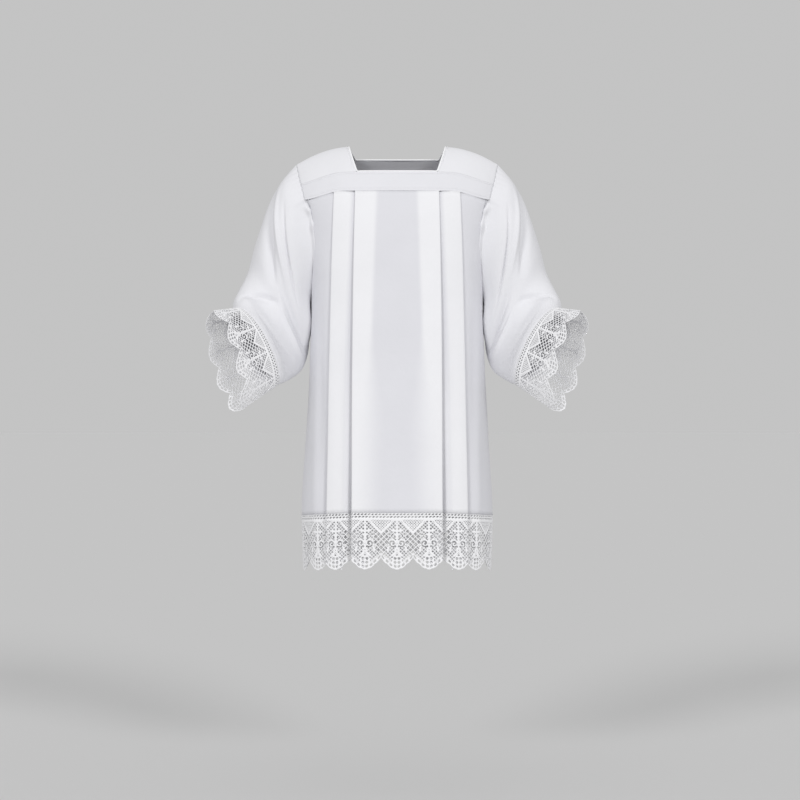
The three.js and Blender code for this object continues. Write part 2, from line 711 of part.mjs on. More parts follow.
// A row whose ends are drawn back from the seam, each towards its neighbour
function halfRow(row) {
  const drawBack = (end, neighbour) => {
    const way = new THREE.Vector3().subVectors(neighbour.point, end.point).normalize()
    return { point: end.point.clone().addScaledVector(way, SEAM), normal: end.normal }
  }
  const count = row.length
  return [drawBack(row[0], row[1]), ...row.slice(1, -1), drawBack(row[count - 1], row[count - 2])]
}
for (const [name, side] of [['right', -1], ['left', 1]]) {
  const [frontHalf, backHalf] = sleeveHalves(side)
  addPiece(`sleeve_${name}_front`, frontHalf, COTTON)
  addPiece(`sleeve_${name}_back`, backHalf, COTTON)
}

// Cuff lace: it runs on from the sleeve's last ring. Each half reaches from the top of the ring
// to its bottom, and distance along it is the ring's own length.
const RING_SAMPLES = 120
const TANGENT_STEP = 0.5
function cuffLace(side, front) {
  const ringPoint = (position, share) => {
    const point = sleevePoint(position, share, front)
    return side > 0 ? point.setX(-point.x) : point
  }
  const lengths = [0]
  for (let k = 1; k <= RING_SAMPLES; k += 1) {
    const before = ringPoint(CUFF_RING, (k - 1) / RING_SAMPLES)
    const after = ringPoint(CUFF_RING, k / RING_SAMPLES)
    lengths.push(lengths[k - 1] + after.distanceTo(before))
  }
  const stretch = lengths[RING_SAMPLES] / (CUFF_SCALLOPS * SCALLOP)
  const shareAt = (along) => {
    const wanted = along * stretch
    let k = 1
    while (k < RING_SAMPLES && lengths[k] < wanted) k += 1
    return (k - 1 + (wanted - lengths[k - 1]) / (lengths[k] - lengths[k - 1])) / RING_SAMPLES
  }
  const pointAt = (along, depth) => {
    const share = shareAt(along)
    const from = ringPoint(CUFF_RING, share)
    const to = ringPoint(CUFF_RING + 1, share)
    return from.lerp(to, (depth + CUFF_SEAM) / LACE_TIP)
  }
  const surface = (along, depth) => {
    const step = TANGENT_STEP
    const point = pointAt(along, depth)
    const across = pointAt(along + step, depth).sub(pointAt(along - step, depth))
    const down = pointAt(along, depth + step).sub(pointAt(along, depth - step))
    const normal = across.cross(down).normalize()
    if (side > 0 === front) normal.negate()
    return { point, normal }
  }
  const whole = CUFF_SCALLOPS * SCALLOP
  const places = [SEAM, ...stationsBetween(0, whole, 1), whole - SEAM]
  return laceStrip(places.map((along) => ({ along, bend: false })), surface)
}
addPiece('cuff_lace_right_front', cuffLace(-1, true), LACE)
addPiece('cuff_lace_right_back', cuffLace(-1, false), LACE)
addPiece('cuff_lace_left_front', cuffLace(1, true), LACE)
addPiece('cuff_lace_left_back', cuffLace(1, false), LACE)

export default group
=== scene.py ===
"""White surplice in its worn form: yoke, knife-pleated panels, wide sleeves, lace at hem and cuffs.

Lengths in the tables are millimetres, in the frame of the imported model: +Z up, front towards -Y.
Every cloth surface is worked out with numpy and is given its thickness by a modifier.
"""
import math

import bpy
import numpy as np
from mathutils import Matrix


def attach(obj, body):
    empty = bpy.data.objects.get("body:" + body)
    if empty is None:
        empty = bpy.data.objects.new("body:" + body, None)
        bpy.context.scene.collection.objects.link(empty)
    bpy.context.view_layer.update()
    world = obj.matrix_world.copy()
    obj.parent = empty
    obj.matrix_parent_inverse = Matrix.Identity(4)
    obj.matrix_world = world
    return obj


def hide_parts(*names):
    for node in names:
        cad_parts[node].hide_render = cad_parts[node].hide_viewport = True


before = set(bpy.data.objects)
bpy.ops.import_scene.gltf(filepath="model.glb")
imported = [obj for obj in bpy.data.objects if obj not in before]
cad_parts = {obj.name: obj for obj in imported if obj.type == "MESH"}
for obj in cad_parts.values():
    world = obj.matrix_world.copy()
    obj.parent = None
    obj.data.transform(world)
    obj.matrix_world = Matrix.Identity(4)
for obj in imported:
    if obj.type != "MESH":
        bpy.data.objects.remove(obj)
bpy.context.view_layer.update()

bl_info = {
    "name": "Pleated Surplice",
    "version": (1, 0, 0),
    "blender": (4, 5, 0),
    "location": "View3D > Sidebar > Surplice",
    "description": "Builds a white surplice with pleats, wide sleeves and lace round the packed model",
    "category": "Object",
}

MM = 0.001

# Plan of the body at each height: half width and half depth of the middle layer of cloth,
# squareness of the curve, distance between layers of a pleat, and how far round the front
# panel reaches, in degrees from straight ahead
BODY_COLUMNS = ("height", "width", "depth", "square", "layer", "reach")
BODY = np.array([
    (-1040, 237, 160, 2.4, 4.0, 90),
    (-890, 241, 160, 2.4, 4.0, 90),
    (-715, 230, 153, 2.5, 3.4, 90),
    (-510, 219, 144, 2.6, 3.0, 90),
    (-350, 216, 139, 2.7, 2.6, 90),
    (-330, 217, 138, 2.7, 2.5, 81),
    (-285, 220, 136, 2.8, 2.4, 73.5),
    (-230, 226, 133, 2.8, 2.2, 70.2),
    (-180, 232, 129, 2.9, 1.9, 70),
    (-114, 250, 118, 3.0, 1.6, 71.5),
])
UNDERARM_HEIGHT = -350

# The two knife pleats of each half at each height: distance of the folded edge from the
# centre, and width of the cloth tucked under it
PLEAT_COLUMNS = ("height", "inner", "inner_under", "outer", "outer_under")
PLEATS = np.array([
    (-1040, 106, 31, 170, 39),
    (-890, 105, 32, 168, 40),
    (-520, 104.5, 43, 162, 42),
    (-300, 102.5, 48, 157, 44),
    (-114, 99.5, 51, 151, 44),
])

# How far the cloth dips just outside the inner folded edges, and how wide the dip is, at each
# height. The dip's middle lies DIP_SHIFT outside the edge. It dips less outside the outer ones.
DIP_COLUMNS = ("height", "depth", "width")
DIPS = np.array([
    (-1040, 15.5, 8.5),
    (-890, 14.5, 8),
    (-700, 9.5, 7),
    (-450, 5, 5.5),
    (-114, 1.3, 4),
])
DIP_SHIFT = 4.5
OUTER_DIP_SHARE = 0.3

# The panel's side edge sinks by this depth under the sleeve at the armhole, over this width
ARMHOLE_CREASE = (14, 5)

# Half the width of the change of tone beside a tuck, and how much further it reaches at the hem
# towards the centre and away from it. That further reach is painted light: near the hem the faces
# are painted lighter towards their folded edges.
TONE_CHANGE = 6
HEM_LIGHT_REACH = (40, 26)

# Soft upright folds of a panel: distance from the centre, middle height, length, width and
# depth, less than 0 where the fold stands out
FRONT_FOLDS = np.array([
    (-62, -720, 230, 24, 2.2),
    (-18, -800, 190, 22, -1.8),
    (38, -700, 260, 26, 1.9),
    (76, -840, 150, 18, -1.5),
    (-138, -640, 240, 14, 2.0),
    (137, -700, 250, 14, 1.7),
    (-200, -600, 170, 15, 3.4),
    (203, -560, 190, 16, 3.0),
    (-214, -830, 150, 17, -3.0),
    (212, -800, 170, 15, -3.2),
])
BACK_FOLDS = np.array([
    (-70, -680, 260, 25, -2.3),
    (-8, -780, 220, 24, 2.4),
    (55, -740, 240, 22, -1.8),
    (-135, -760, 230, 14, 1.9),
    (139, -660, 260, 14, 1.8),
    (-205, -700, 220, 16, 3.3),
    (206, -660, 200, 16, -3.1),
])

# Yoke: shoulder ridge, its seam with the panels, and the square neck. The neck's edges lie at a
# share of the way from the ridge, 0, to the seam, 1 at the front and -1 at the back, and the neck
# narrows by so much on each side. The yoke steps in with the pleats between the distances of
# YOKE_STEP from the centre.
RIDGE_HEIGHT = 3
RIDGE_BACK = 5
RIDGE_DROP = 44
NECK_HALF_WIDTH = 120
SEAM_HEIGHT = -114
SEAM_CORNER_DROP = 18
HEAD_ACROSS = 247
CORNER_ACROSS = 224.5
YOKE_STEP = (80, 175)
NECK_FRONT = {"edge": 0.737, "narrowing": 22}
NECK_BACK = {"edge": -0.45, "narrowing": 16}

# Lace: depth at a tip and at a notch, width of a scallop, and the hem that it hangs from
HEM_HEIGHT = -899
HEM_RISE = 12
HEM_HALF_DEPTH = 160
LACE_TIP = 134
LACE_NOTCH = 107
SCALLOP = 75
SCALLOP_POWER = 1.05
CUFF_SCALLOPS = 4
# Spacing of the points along the hem that carry the lace, how far it overlaps the panel, and the
# width of plain thread at its ends
HEM_STEP = 0.5
LACE_OVERLAP = 1.5
SELVEDGE = 1.2

# Rings of the right sleeve: the top's x, y and z, the bottom's x, y and z, half width, how much
# wider it is towards the top, and how far its width has turned from straight ahead to the way
# across the forearm. After the ring of CUFF_RING comes the edge of the lace.
RINGS = np.array([
    (-279, 5, -78, -214, 0, -400, 88, 0.12, 0),
    (-309, 6, -127, -215.3, -1, -450, 86, 0.18, 0),
    (-331, 8, -186, -218, -4, -495, 80, 0.22, 0.05),
    (-350, 8, -245, -226, -10, -527, 74, 0.25, 0.15),
    (-365, 2, -304, -237, -26, -548, 68, 0.25, 0.35),
    (-383, -22, -346, -255, -54, -563, 62, 0.2, 0.6),
    (-391, -65, -371, -273, -94, -575, 55, 0.15, 0.85),
    (-392, -110, -399, -287, -140, -583, 49, 0.1, 1),
    (-444, -200, -410, -375, -235, -646, 47, 0.05, 1),
])
CUFF_RING = 7
FOREARM_ACROSS = np.array((0.568, -0.701, 0.427))
STRAIGHT_AHEAD = np.array((0.0, -1.0, 0.0))

# Folds of a sleeve, each along a line: ring and share of the way down it at both ends, how far
# the line bows to its soft side, width on that side, depth, and 1 on the front or -1 on the
# back. The other side is half as wide. A depth less than 0 stands out.
RIGHT_SLEEVE_FOLDS = np.array([
    (0.5, 0.00, 2.9, 0.43, -8, 28, 18.0, 1),
    (0.2, 0.10, 1.9, 0.55, 6, 13, -7.0, 1),
    (0.1, 0.24, 1.3, 0.70, 5, 10, 7.0, 1),
    (6.6, 0.01, 2.9, 0.52, 7, 13, 9.0, 1),
    (2.0, 1.00, 2.5, 0.44, -10, 26, 13.0, 1),
    (3.2, 0.46, 3.0, 0.92, 8, 20, -7.0, 1),
    (6.3, 0.30, 4.3, 0.78, 12, 20, 4.5, 1),
    (6.7, 0.62, 5.2, 0.92, 6, 15, -3.5, 1),
    (0.4, 0.04, 2.2, 0.52, -8, 20, 9.0, -1),
    (0.8, 0.40, 2.6, 0.74, 7, 17, -5.0, -1),
    (5.9, 0.08, 2.8, 0.60, 9, 17, 8.5, -1),
    (2.4, 0.97, 3.4, 0.50, -9, 22, 8.0, -1),
    (6.4, 0.40, 4.6, 0.86, 10, 20, 5.0, -1),
    (4.9, 0.16, 3.6, 0.38, 5, 14, -4.0, -1),
])
LEFT_SLEEVE_FOLDS = np.array([
    (0.4, 0.00, 2.7, 0.40, -7, 27, 18.0, 1),
    (0.2, 0.12, 1.8, 0.50, 5, 14, -6.5, 1),
    (0.0, 0.28, 1.4, 0.72, 6, 9, 7.5, 1),
    (6.5, 0.03, 3.2, 0.48, 6, 12, 8.5, 1),
    (2.2, 1.00, 2.3, 0.47, -9, 24, 13.5, 1),
    (3.3, 0.50, 2.9, 0.90, 9, 21, -6.5, 1),
    (6.2, 0.34, 4.5, 0.82, 11, 18, 4.0, 1),
    (0.5, 0.06, 2.0, 0.48, -7, 19, 8.0, -1),
    (1.0, 0.44, 2.8, 0.70, 8, 18, -5.5, -1),
    (6.0, 0.12, 3.0, 0.56, 8, 16, 9.0, -1),
    (2.2, 0.95, 3.2, 0.54, -8, 20, 7.0, -1),
    (6.3, 0.44, 4.4, 0.80, 9, 22, 5.5, -1),
])

# How far the panel's cloth ends before the side seam, the yoke seam and the hem
PANEL_GAPS = {"side": 0.15, "top": 0.2, "hem": 0.1}
# The sleeve's head starts this far outside the armhole's line. Its first two rows are tucked in:
# how far towards the left, and how far towards the middle of the body
HEAD_GAP = 0.4
TUCKED_ROWS = ((5, 1.1), (1, 0.9))
# The bands and the shoulder pieces reach this far past the armhole's line
HEAD_TUCK = 0.15
# The shoulder pieces sink this far under the bands at their ends
BAND_OVERLAP_DROP = 0.7
# The stitches lie this far over the middle of the cloth
STITCH_LIFT = 1.0

# Height of the faint unevenness, and tone of the pieces that have one tone all over: 0 is that of
# one layer of cloth and 1 that of three. These tones are painted light as well as layers: each piece
# is painted about as light as it looks lit, so the sleeves, one layer of cloth, lie between.
RIPPLES = {"panel": 0.8, "band": 0.5, "shoulder": 0.4, "sleeve": 0.9}
LAYER_AND_LIGHT_TONES = {"band": 0.3, "shoulder": 0.6, "sleeve": 0.55}

# Length of a sleeve from ring to ring, and from its top round to its bottom
RING_LENGTH = 55
HALF_ROUND = 400

# Sleeve head: how many radians the wave of the gathers runs in half a round, and how far down
# the gathers reach
GATHER_RUN = 140
GATHER_REACH = 18
# The cloth rolls over the lower armhole: how far it moves to the front or the back, how far from
# the seam, and half the roll's width
ROLL = (14, 12, 8)
# The lower inner side leans against the body: how far, at which share of the way down and which
# ring it is most, and how far that reaches in shares and in rings
LEAN = (11, 0.83, 0.9, 0.08, 1.2)

# Real threads are 0.3 mm apart. They are drawn this far apart, so that they show.
THREAD_SPACING = 2.2

# Motif of a scallop of lace, measured from its middle and from its top. A leaf: place aside and
# down, tilt in radians, half length and half width. A scroll: place aside and down, radius,
# pitch, and 1 or -1 for the way that it turns.
HEADING_DEPTH = 16
HEADING_CORD = 13.9
STEM_MIDDLE = 56
STEM_LENGTH = 52
LEAVES = ((8.4, 42, -0.25, 8.4, 2.6), (8.2, 98, 0.75, 9.0, 2.9), (20.5, 84, 1.25, 8.0, 2.4))
SCROLLS = ((10.2, 72, 8.4, 6.6, 1), (7.2, 55.5, 5.6, 5.4, -1))
ROSETTE_DEPTH = 112.6
ROSETTE_RADIUS = 12.2
PETAL_SPACING = 4.7
EDGE_DEPTH = 10.8

# Width of the picture at the garment, and the x and z of its middle, in metres
VIEW_WIDTH = 1.96
VIEW_MIDDLE = (0.007, -0.617)

# Directions of a quarter of the plan, and the heights at which it is worked out
PLAN_ANGLES = np.radians(np.linspace(0, 90, 241))
LEVELS = np.arange(-1044.0, -96.0, 4.0)


def hex_colour(code):
    """Linear RGB of an sRGB hex code, by the sRGB curve."""
    values = [int(code[k:k + 2], 16) / 255 for k in (0, 2, 4)]
    return [v / 12.92 if v <= 0.04045 else ((v + 0.055) / 1.055) ** 2.4 for v in values]


def settings():
    """The garment's sizes and colours."""
    return bpy.context.scene.surplice


def through(places, values, at):
    """Smooth curve through a table's rows: cubic pieces whose slope at a row is the mean slope."""
    slopes = np.gradient(values, places, axis=0)
    row = np.clip(np.searchsorted(places, at) - 1, 0, len(places) - 2)
    span = places[row + 1] - places[row]
    share = np.clip((at - places[row]) / span, 0, 1)
    extra = (1,) * (values.ndim - 1)
    span = span.reshape(span.shape + extra)
    t = share.reshape(share.shape + extra)
    start = (1 + 2 * t) * (1 - t) ** 2 * values[row] + t * (1 - t) ** 2 * span * slopes[row]
    end = t ** 2 * (3 - 2 * t) * values[row + 1] + t ** 2 * (t - 1) * span * slopes[row + 1]
    return start + end


def table_at(table, columns, heights):
    """Each named column of a table at an array of heights."""
    values = through(table[:, 0], table[:, 1:], np.asarray(heights, float))
    return {name: values[..., k] for k, name in enumerate(columns[1:])}


def smoothstep(value, low, high):
    """0 up to low, 1 from high on, and a smooth S between them."""
    share = np.clip((value - low) / (high - low), 0, 1)
    return share * share * (3 - 2 * share)


def bell(value, width):
    """A rounded hump, 1 in the middle and near 0 at twice the width."""
    return np.exp(-(value / width) ** 2)


def unit(vectors):
    """Vectors brought to a length of 1."""
    return vectors / np.maximum(np.linalg.norm(vectors, axis=-1, keepdims=True), 1e-12)


def run_along(line):
    """Distance travelled along a line at each of its points."""
    steps = np.linalg.norm(np.diff(line, axis=0), axis=-1)
    return np.concatenate(([0], np.cumsum(steps)))


def on_line(line, travelled, at):
    """Points of a line at given distances along it."""
    return np.stack([np.interp(at, travelled, line[:, k]) for k in range(3)], axis=-1)


def distance_from(points, row):
    """Distance of each point of a grid from one row's point in its column."""
    return np.linalg.norm(points - points[row], axis=-1)


def cloth_place(along, down):
    """Cloth map of a grid, in millimetres along the cloth and down it."""
    return np.stack(np.broadcast_arrays(along, down), axis=-1)


def hand(side):
    """Name of a side of the wearer: -X is the right one."""
    return "right" if side < 0 else "left"


def grid_normals(points, closed=False):
    """Normals of a grid from the steps between its neighbours along both ways."""
    down = np.gradient(points, axis=0)
    if closed:
        across = np.roll(points, -1, axis=1) - np.roll(points, 1, axis=1)
    else:
        across = np.gradient(points, axis=1)
    return unit(np.cross(across, down))


def turned_out(normals, outside):
    """Normals, all turned round if on the whole they point against the outside."""
    return normals if np.sum(normals * outside) > 0 else -normals


def ripple(across, down):
    """Faint unevenness of worn cloth: three slow waves that cross at odd angles."""
    first = np.sin(across / 37 + down / 91)
    second = np.sin(across / 23 - down / 143 + 1.3)
    third = np.sin(across / 61 + down / 53 + 2.1)
    return (first + second + third) / 3


def pleat_stretches(height):
    """Nine stretches of half a section at one height, from the centre to the side edge.

    Face, fold, underlay, fold, face, fold, underlay, fold, face. Gives the plan, and for each
    stretch its ends along the plan, its offset, its way (1 or -1 for a fold turning out or in,
    0 for flat cloth), the side of the cloth that faces out, and its length.
    """
    body = table_at(BODY, BODY_COLUMNS, height)
    pleat = table_at(PLEATS, PLEAT_COLUMNS, height)
    across = (np.sin(PLAN_ANGLES) / body["width"]) ** body["square"]
    ahead = (np.cos(PLAN_ANGLES) / body["depth"]) ** body["square"]
    radius = (across + ahead) ** (-1 / body["square"])
    x = radius * np.sin(PLAN_ANGLES)
    y = -radius * np.cos(PLAN_ANGLES)
    length = run_along(np.stack((x, y), axis=-1))
    inner, outer = np.interp((pleat["inner"], pleat["outer"]), x, length)
    inner_back = inner - pleat["inner_under"]
    outer_back = outer - pleat["outer_under"]
    end = float(np.interp(math.radians(min(body["reach"], 90)), PLAN_ANGLES, length))
    end = end - PANEL_GAPS["side"]
    layer = body["layer"]
    ends = np.repeat((inner, inner_back, outer, outer_back), 2)
    start = np.concatenate(([0], ends))
    stop = np.concatenate((ends, [end]))
    offset = layer * np.array([2, 1.5, 1, 0.5, 0, -0.5, -1, -1.5, -2])
    way = np.array([0, 1, 0, -1, 0, 1, 0, -1, 0])
    faces = np.array([1, 0, -1, 0, 1, 0, -1, 0, 1])
    lengths = np.where(way == 0, np.abs(stop - start), math.pi * layer / 2)
    plan = {"length": length, "inner": inner, "outer": outer, "layer": layer,
            "inner_back": inner_back, "outer_back": outer_back,
            "lines": (x, y, np.gradient(x, length), np.gradient(y, length))}
    return plan, start, stop, offset, way, faces, lengths


def body_table(side, stretch, share, front):
    """Points, normals and shares of layers and painted light of a panel's cloth for each level and each
    column.

    A column is a side, a stretch and a share of that stretch. A fold is a half circle between
    two layers. Outside each folded edge the lower layers dip, and every layer follows the
    panel's soft folds, so the layers never meet.
    """
    folds = FRONT_FOLDS if front else BACK_FOLDS
    facing = 1 if front else -1
    dips = table_at(DIPS, DIP_COLUMNS, LEVELS)
    points = np.empty((len(LEVELS), len(side), 3))
    normals = np.zeros_like(points)
    layers_and_light = np.empty(points.shape[:2])
    for row, height in enumerate(LEVELS):
        plan, start, stop, offset, way, faces, _ = pleat_stretches(height)
        is_flat = way[stretch] == 0
        turn = np.where(is_flat, 0, share * math.pi)
        radius = plan["layer"] / 2
        along = np.where(is_flat, start[stretch] + (stop[stretch] - start[stretch]) * share,
                         start[stretch] + way[stretch] * radius * np.sin(turn))
        out = offset[stretch] + np.where(is_flat, 0, radius * np.cos(turn))
        depth, width = dips["depth"][row], dips["width"][row]
        for edge, dip, first in (("inner", depth, 1), ("outer", OUTER_DIP_SHARE * depth, 5)):
            out = out - dip * bell(along - plan[edge] - DIP_SHIFT, width) * (stretch > first)
        for across, middle, length, fold_width, fold_depth in folds:
            fade = bell(height - middle, length)
            out = out - fold_depth * fade * bell(side * along - across, fold_width)
        uneven = RIPPLES["panel"] * ripple(side * along, height)
        out = out + uneven * smoothstep(-height, 150, 400)
        crease = smoothstep(-height, 130, 165) * (1 - smoothstep(-height, 330, 400))
        crease_depth, crease_width = ARMHOLE_CREASE
        out = out - crease_depth * crease * bell(along - stop[8], crease_width) * (stretch == 8)
        x, y, tangent_x, tangent_y = (np.interp(along, plan["length"], line) for line in plan["lines"])
        face = np.where(is_flat, faces[stretch], way[stretch] * np.cos(turn))
        edge = np.sin(turn)
        points[row, :, 0] = side * (x + tangent_y * out)
        points[row, :, 1] = facing * (y - tangent_x * out)
        points[row, :, 2] = height
        normals[row, :, 0] = side * (tangent_x * edge + tangent_y * face)
        normals[row, :, 1] = facing * (tangent_y * edge - tangent_x * face)
        layers_and_light[row] = layer_and_light_share(plan, along, stretch, height)
    return points, unit(normals), layers_and_light


def layer_and_light_share(plan, along, stretch, height):
    """0 where one layer of cloth lies alone, 1 where three lie together, and between beside tucks.
    Towards the hem it also holds painted light: the faces are painted lighter towards their folded
    edges.
    """
    low = smoothstep(-height, 430, 700)
    inwards, outwards = TONE_CHANGE + HEM_LIGHT_REACH[0] * low, TONE_CHANGE + HEM_LIGHT_REACH[1] * low
    inner_zone = smoothstep(along, plan["inner_back"] - inwards, plan["inner_back"] + outwards)
    outer_zone = smoothstep(along, plan["outer_back"] - TONE_CHANGE, plan["outer_back"] + TONE_CHANGE)
    # Painted light: towards the hem the single face beside the outer tuck is painted half way to the
    # tone of three layers
    outer_zone = outer_zone + (1 - outer_zone) * 0.5 * low
    return np.select([stretch == 0, stretch == 4, stretch == 8], [inner_zone, outer_zone, 0], 1)


def at_heights(table, heights, column=None):
    """Values of a table of levels and columns at a grid of heights, on straight lines."""
    place = np.clip((heights - LEVELS[0]) / (LEVELS[1] - LEVELS[0]), 0, len(LEVELS) - 1.001)
    row = place.astype(int)
    share = place - row
    if column is None:
        column = np.broadcast_to(np.arange(table.shape[1]), heights.shape)
    if table.ndim == 3:
        share = share[..., None]
    return table[row, column] * (1 - share) + table[row + 1, column] * share


def level_line(table, height):
    """The row of a table of levels and columns at one height."""
    return at_heights(table, np.full((1, table.shape[1]), float(height)))[0]


def hem_height(y):
    """Top of the lace: from the sides it rises with the square of the way to the centre."""
    share = np.minimum(1, np.abs(y) / HEM_HALF_DEPTH)
    return HEM_HEIGHT + HEM_RISE * share ** 2


def ridge_height(x):
    """Height of the shoulder ridge, which falls ever faster from the neck to the sleeve."""
    share = np.maximum(0, np.abs(x) - NECK_HALF_WIDTH) / (HEAD_ACROSS - NECK_HALF_WIDTH)
    return RIDGE_HEIGHT - RIDGE_DROP * share ** 1.8


def seam_height(x):
    """Height of the yoke's lower seam, which drops a little towards the armholes."""
    return SEAM_HEIGHT - SEAM_CORNER_DROP * smoothstep(np.abs(x), 130, CORNER_ACROSS)


def yoke_points(x, over):
    """Yoke surface: over is -1 at the back seam, 0 at the ridge and 1 at the front seam.

    Each line over the shoulder is half a quarter ellipse and half a slope, and its lower edge
    steps in with the pleats below it.
    """
    x, over = np.broadcast_arrays(np.asarray(x, float), np.asarray(over, float))
    _, width, depth, square, layer, _ = BODY[-1]
    proud = 2 * layer * (1 - 2 * smoothstep(np.abs(x), *YOKE_STEP))
    rounded = (1 - (np.abs(x) / width) ** square) ** (1 / square)
    seam_y = depth * rounded + proud
    turn = np.abs(over) * math.pi / 2
    fall = 1 - np.cos(turn)
    reach = 0.5 * np.sin(turn) + 0.5 * fall
    side_y = np.where(over > 0, -seam_y, seam_y)
    y = RIDGE_BACK + (side_y - RIDGE_BACK) * reach
    z = ridge_height(x) + (seam_height(x) - ridge_height(x)) * fall
    return np.stack((x, y, z), axis=-1)


def neck_side(over):
    """Half width of the neck: it narrows with the square of the way to its edge."""
    edge = np.where(over > 0, NECK_FRONT["edge"], NECK_BACK["edge"])
    narrowing = np.where(over > 0, NECK_FRONT["narrowing"], NECK_BACK["narrowing"])
    return NECK_HALF_WIDTH - narrowing * (over / edge) ** 2


def sleeve_head(over):
    """Distance of the armhole's line from the centre, less towards its corners."""
    return HEAD_ACROSS - (HEAD_ACROSS - CORNER_ACROSS) * over ** 2


def lace_depth(along):
    """Depth of the lace at a distance along it: rounded scallops between sharp notches."""
    within = np.mod(along, SCALLOP)
    share = np.minimum(within, SCALLOP - within) / (SCALLOP / 2)
    return LACE_NOTCH + (LACE_TIP - LACE_NOTCH) * np.sin(share * math.pi / 2) ** SCALLOP_POWER


def new_mesh(name, points, faces, uv=None, layers_and_light=None):
    """A mesh object from points in millimetres and faces, with its cloth map and its shares of layers
    and painted light.
    """
    mesh = bpy.data.meshes.new(name)
    mesh.from_pydata((np.asarray(points) * MM).tolist(), [], faces.tolist())
    mesh.polygons.foreach_set("use_smooth", np.ones(len(mesh.polygons), bool))
    if uv is not None:
        corners = np.empty(len(mesh.loops), np.int32)
        mesh.loops.foreach_get("vertex_index", corners)
        cloth_map = mesh.uv_layers.new(name="cloth")
        cloth_map.data.foreach_set("uv", (uv[corners] * MM).astype(np.float32).ravel())
    if layers_and_light is not None:
        attribute = mesh.attributes.new("layers_and_light", "FLOAT", "POINT")
        attribute.data.foreach_set("value", layers_and_light.astype(np.float32))
    mesh.validate()
    mesh.update()
    made = bpy.data.objects.new(name, mesh)
    bpy.context.scene.collection.objects.link(made)
    return made


def grid_object(name, points, normals, closed=False, uv=None, layers_and_light=None):
    """A grid of quads whose faces point the way of its normals."""
    rows, columns = points.shape[:2]
    number = np.arange(rows * columns).reshape(rows, columns)
    if closed:
        number = np.concatenate((number, number[:, :1]), axis=1)
    a, b = number[:-1, :-1].ravel(), number[:-1, 1:].ravel()
    c, d = number[1:, 1:].ravel(), number[1:, :-1].ravel()
    middle = (rows // 2, columns // 3)
    step_across = points[middle[0], middle[1] + 1] - points[middle]
    step_down = points[middle[0] + 1, middle[1]] - points[middle]
    if np.dot(np.cross(step_across, step_down), normals[middle]) > 0:
        faces = np.stack((a, b, c, d), axis=1)
    else:
        faces = np.stack((a, d, c, b), axis=1)
    flat_uv = None if uv is None else uv.reshape(-1, 2)
    flat_layers_and_light = None if layers_and_light is None else np.broadcast_to(layers_and_light, points.shape[:2]).ravel()
    return new_mesh(name, points.reshape(-1, 3), faces, flat_uv, flat_layers_and_light)


def thicken(piece, thickness):
    """A wall with half its thickness on each side of the surface."""
    wall = piece.modifiers.new("cloth wall", "SOLIDIFY")
    wall.thickness = thickness
    wall.offset = 0
    wall.use_rim = True


def finish_piece(piece, dress, node_names=()):
    """Material and body of a piece, and the solids that it replaces."""
    piece.data.materials.append(material_of(dress))
    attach(piece, "root")
    if node_names:
        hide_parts(*node_names)


def cloth_piece(name, points, normals, cloth_map, layers_and_light, nodes=None, closed=False):
    """A piece of woven cloth from a grid, with its wall and the nodes it replaces."""
    piece = grid_object(name + "_cloth", points, normals, closed, cloth_map, layers_and_light)
    thicken(piece, settings().cloth_thickness)
    finish_piece(piece, plain_woven_cotton, nodes or [name])


def add_node(tree, kind, settings_in=None, **links):
    """One node of a material: settings_in sets sockets or properties, links join sockets to it."""
    node = tree.nodes.new(kind)
    for key, value in (settings_in or {}).items():
        if key in node.inputs:
            node.inputs[key].default_value = value
        else:
            setattr(node, key, value)
    for key, source in links.items():
        tree.links.new(source, node.inputs[key.replace("_", " ")])
    return node


def material_of(dress):
    """The material named after the function that dresses it. It is made once."""
    material = bpy.data.materials.get(dress.__name__)
    if material is None:
        material = bpy.data.materials.new(dress.__name__)
        material.use_nodes = True
        dress(material.node_tree, material.node_tree.nodes["Principled BSDF"])
    return material


def noise(tree, place, scale, detail=2.0, roughness=0.5):
    """Soft random unevenness of that scale."""
    sizes = {"Scale": scale, "Detail": detail, "Roughness": roughness}
    return add_node(tree, "ShaderNodeTexNoise", sizes, Vector=place).outputs["Fac"]


def threads(tree, place, direction, scale, distortion=0.0):
    """Even bands across a direction of the cloth."""
    shape = {"bands_direction": direction, "Scale": scale, "Distortion": distortion}
    return add_node(tree, "ShaderNodeTexWave", shape, Vector=place).outputs["Fac"]


def combined(tree, operation, first, second):
    """Two values added or multiplied."""
    node = add_node(tree, "ShaderNodeMath", {"operation": operation})
    tree.links.new(first, node.inputs[0])
    tree.links.new(second, node.inputs[1])
    return node.outputs["Value"]


def bumped(tree, strength, distance, **links):
    """Normals bumped by a height, over others if given."""
    sizes = {"Strength": strength, "Distance": distance}
    return add_node(tree, "ShaderNodeBump", sizes, **links).outputs["Normal"]


def finish_surface(tree, shader, normal, grain, smooth, rough):
    """Gives the shader its bumps, and a roughness between two values that follows the grain."""
    spread = add_node(tree, "ShaderNodeMapRange", {"To Min": smooth, "To Max": rough}, Value=grain)
    tree.links.new(normal, shader.inputs["Normal"])
    tree.links.new(spread.outputs["Result"], shader.inputs["Roughness"])


